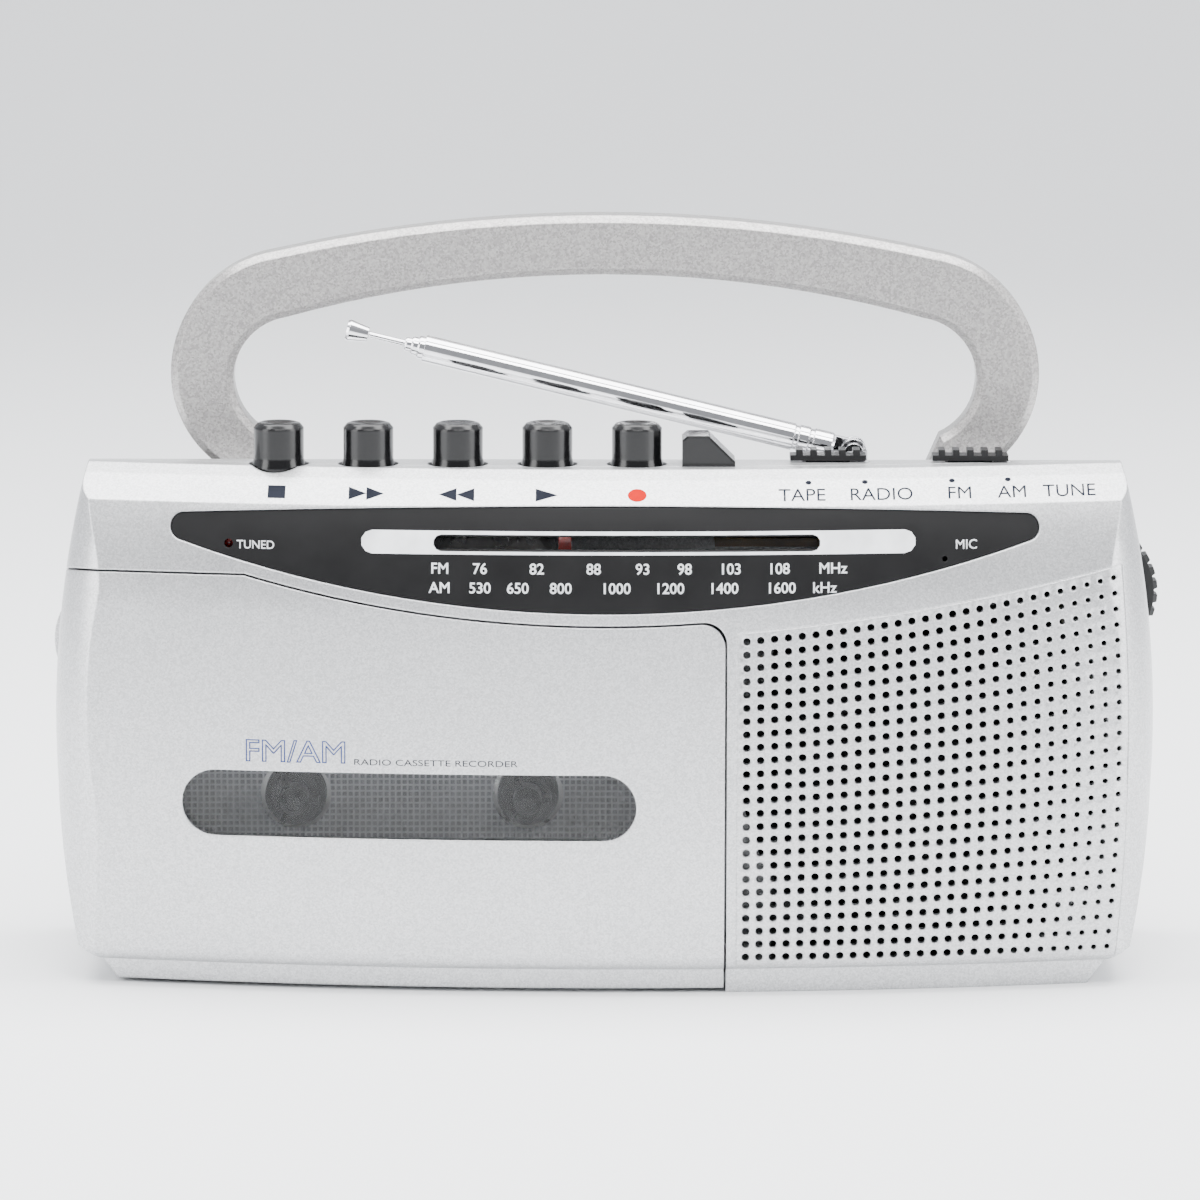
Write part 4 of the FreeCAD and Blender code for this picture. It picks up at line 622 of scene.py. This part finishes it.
dialPrint = {
    "lift": -0.17,
    "bandX": (-43.8, 55.9),
    "bandZ": (80.35, 84.45),
    "slotX": (-30.8, 38.7),
    "slotZ": (80.9, 83.8),
    "fmLevel": 77.0,
    "amLevel": 73.6,
    "letter": 1.95,
    "fm": [("FM", -29.6), ("76", -22.4), ("82", -12.2), ("88", -2.0), ("93", 6.8), ("98", 14.3), ("103", 22.5),
           ("108", 31.2), ("MHz", 40.9)],
    "tuned": ("TUNED", -62.8, 80.8, 1.5),
    "mic": ("MIC", 65.0, 80.9, 1.7),
    "am": [("AM", -29.6), ("530", -22.4), ("650", -15.6), ("800", -7.9), ("1000", 2.0), ("1200", 11.6),
           ("1400", 21.3), ("1600", 31.6), ("kHz", 39.4)],
}


def makeDialPrint():
    outer = roundedBar(*dialPrint["bandX"], *dialPrint["bandZ"])
    inner = roundedBar(*dialPrint["slotX"], *dialPrint["slotZ"])
    steps = np.linspace(0, 1, 160, endpoint=False)

    def resample(points):
        # points at equal shares of the outline's length
        closed = np.concatenate((points, points[:1]))
        reach = np.concatenate(([0], np.cumsum(np.linalg.norm(np.diff(closed, axis=0), axis=1))))
        return np.stack([np.interp(steps * reach[-1], reach, closed[:, axis]) for axis in (0, 1)], -1)

    points, faces = frameOf(resample(outer), resample(inner))
    meshObject("dial_band", layOn(points, dialPrint["lift"]), faces, "white", "cabinet",
               smooth=False)
    for row, level in (("fm", dialPrint["fmLevel"]), ("am", dialPrint["amLevel"])):
        for order, (words, x) in enumerate(dialPrint[row]):
            printedText("dial_%s_%d" % (row, order), words, x, level, dialPrint["letter"], "white", "cabinet",
                        dialPrint["lift"], stroke=0.05, filled=True)
    for key in ("tuned", "mic"):
        words, x, level, height = dialPrint[key]
        printedText("dial_" + key, words, x, level, height, "white", "cabinet", dialPrint["lift"],
                    stroke=0.03, filled=True)


makeDialPrint()
print("dial printed")


labels = {
    "lift": 0.03,
    "level": 90.4,
    "half": 0.95,
    "wide": 2.0,
    "keys": [-59.2, -42.95, -26.7, -10.45, 5.8],
    "words": [("TAPE", 35.5), ("RADIO", 49.8), ("FM", 64.0), ("AM", 73.6), ("TUNE", 84.0)],
    "dots": [36.7, 46.9, 62.7, 72.9],
    "dotLevel": 92.15,
    "dotHalf": (0.55, 0.3),
    "recordWide": 1.7,
}


def makeLabels():
    half, wide, level = labels["half"], labels["wide"], labels["level"]
    stop, forward, rewind, play, record = labels["keys"]
    square = np.array([(-wide, -half), (wide, -half), (wide, half), (-wide, half)])
    arrow = np.array([(-wide, -half), (wide, 0.0), (-wide, half)])
    icons = [("label_stop", square * (0.8, 1), stop, "ink"),
             ("label_forward_a", arrow * (0.8, 1), forward - 1.6, "ink"),
             ("label_forward_b", arrow * (0.8, 1), forward + 1.6, "ink"),
             ("label_rewind_a", arrow * (-0.8, 1), rewind - 1.6, "ink"),
             ("label_rewind_b", arrow * (-0.8, 1), rewind + 1.6, "ink"),
             ("label_play", arrow, play, "ink")]
    for name, outline, x, finish in icons:
        if name.startswith("label_rewind"):
            outline = outline[::-1]
        printedPatch(name, outline + (x, level), finish, "cabinet", labels["lift"], 0.5)
    angles = np.linspace(0, 2 * math.pi, 32, endpoint=False)
    disc = np.stack((labels["recordWide"] * np.cos(angles), half * np.sin(angles)), -1)
    printedPatch("label_record", disc + (record, level), "redInk", "cabinet", labels["lift"], 0.5)
    for words, x in labels["words"]:
        printedText("label_" + words.lower(), words, x, level - half, 2 * half, "ink", "cabinet",
                    labels["lift"], wide=1.45)
    dotWide, dotHigh = labels["dotHalf"]
    dot = np.stack((dotWide * np.cos(angles), dotHigh * np.sin(angles)), -1)
    for order, x in enumerate(labels["dots"]):
        printedPatch("label_dot_%d" % order, dot + (x, labels["dotLevel"]), "ink", "cabinet", labels["lift"],
                     0.5)


makeLabels()


doorPrint = {
    "lift": 0.03,
    "large": ("FM/AM", -65.0, 42.6, 4.1),
    "small": ("RADIO CASSETTE RECORDER", -45.2, 42.3, 1.15),
}


def makeDoorPrint():
    words, x, level, height = doorPrint["large"]
    printedText("door_band_letters", words, x, level, height, "blueInk", "door", doorPrint["lift"],
                align="LEFT", wide=1.12, stroke=0.1)
    words, x, level, height = doorPrint["small"]
    printedText("door_small_letters", words, x, level, height, "ink", "door", doorPrint["lift"],
                align="LEFT", wide=1.42)


makeDoorPrint()
print("labels printed")


# floor

floorSheet = {"half": 3.0, "front": -2.0, "run": 5.0, "curlStart": 3.2, "curl": 0.8, "rows": 60, "columns": 3}


def makeFloor():
    # a wide flat sheet that curls up behind: level in front, a quarter circle, then upright
    rows, columns = floorSheet["rows"], floorSheet["columns"]
    curlStart, curl = floorSheet["curlStart"], floorSheet["curl"]
    x = np.linspace(-floorSheet["half"], floorSheet["half"], columns)
    run = np.linspace(0, 1, rows) * floorSheet["run"]
    turned = np.clip((run - curlStart) / curl, 0, math.pi / 2)
    beyond = np.clip(run - curlStart - curl * math.pi / 2, 0, None)
    y = floorSheet["front"] + np.minimum(run, curlStart) + curl * np.sin(turned)
    z = curl * (1 - np.cos(turned)) + beyond
    size = (rows, columns)
    grid = np.stack((np.broadcast_to(x, size), np.broadcast_to(y[:, None], size),
                     np.broadcast_to(z[:, None], size)), -1).reshape(-1, 3)
    row = np.arange(rows - 1)[:, None] * columns + np.arange(columns - 1)
    faces = np.stack((row, row + 1, row + columns + 1, row + columns), -1).reshape(-1, 4)
    mesh = bpy.data.meshes.new("floor")
    mesh.from_pydata(grid.tolist(), [], faces.tolist())
    mesh.polygons.foreach_set("use_smooth", [True] * len(mesh.polygons))
    floor = bpy.data.objects.new("floor", mesh)
    bpy.context.scene.collection.objects.link(floor)
    material, tree, shader = nodeMaterial("pale_paper")
    tone = studio["floorColour"]
    tree.links.new(ramp(tree, noise(tree, 3.0), tuple(channel * 0.99 for channel in tone), tone, 0.3, 0.7),
                   shader.inputs["Base Color"])
    shader.inputs["Roughness"].default_value = 0.7
    mesh.materials.append(material)


makeFloor()
print("floor laid")
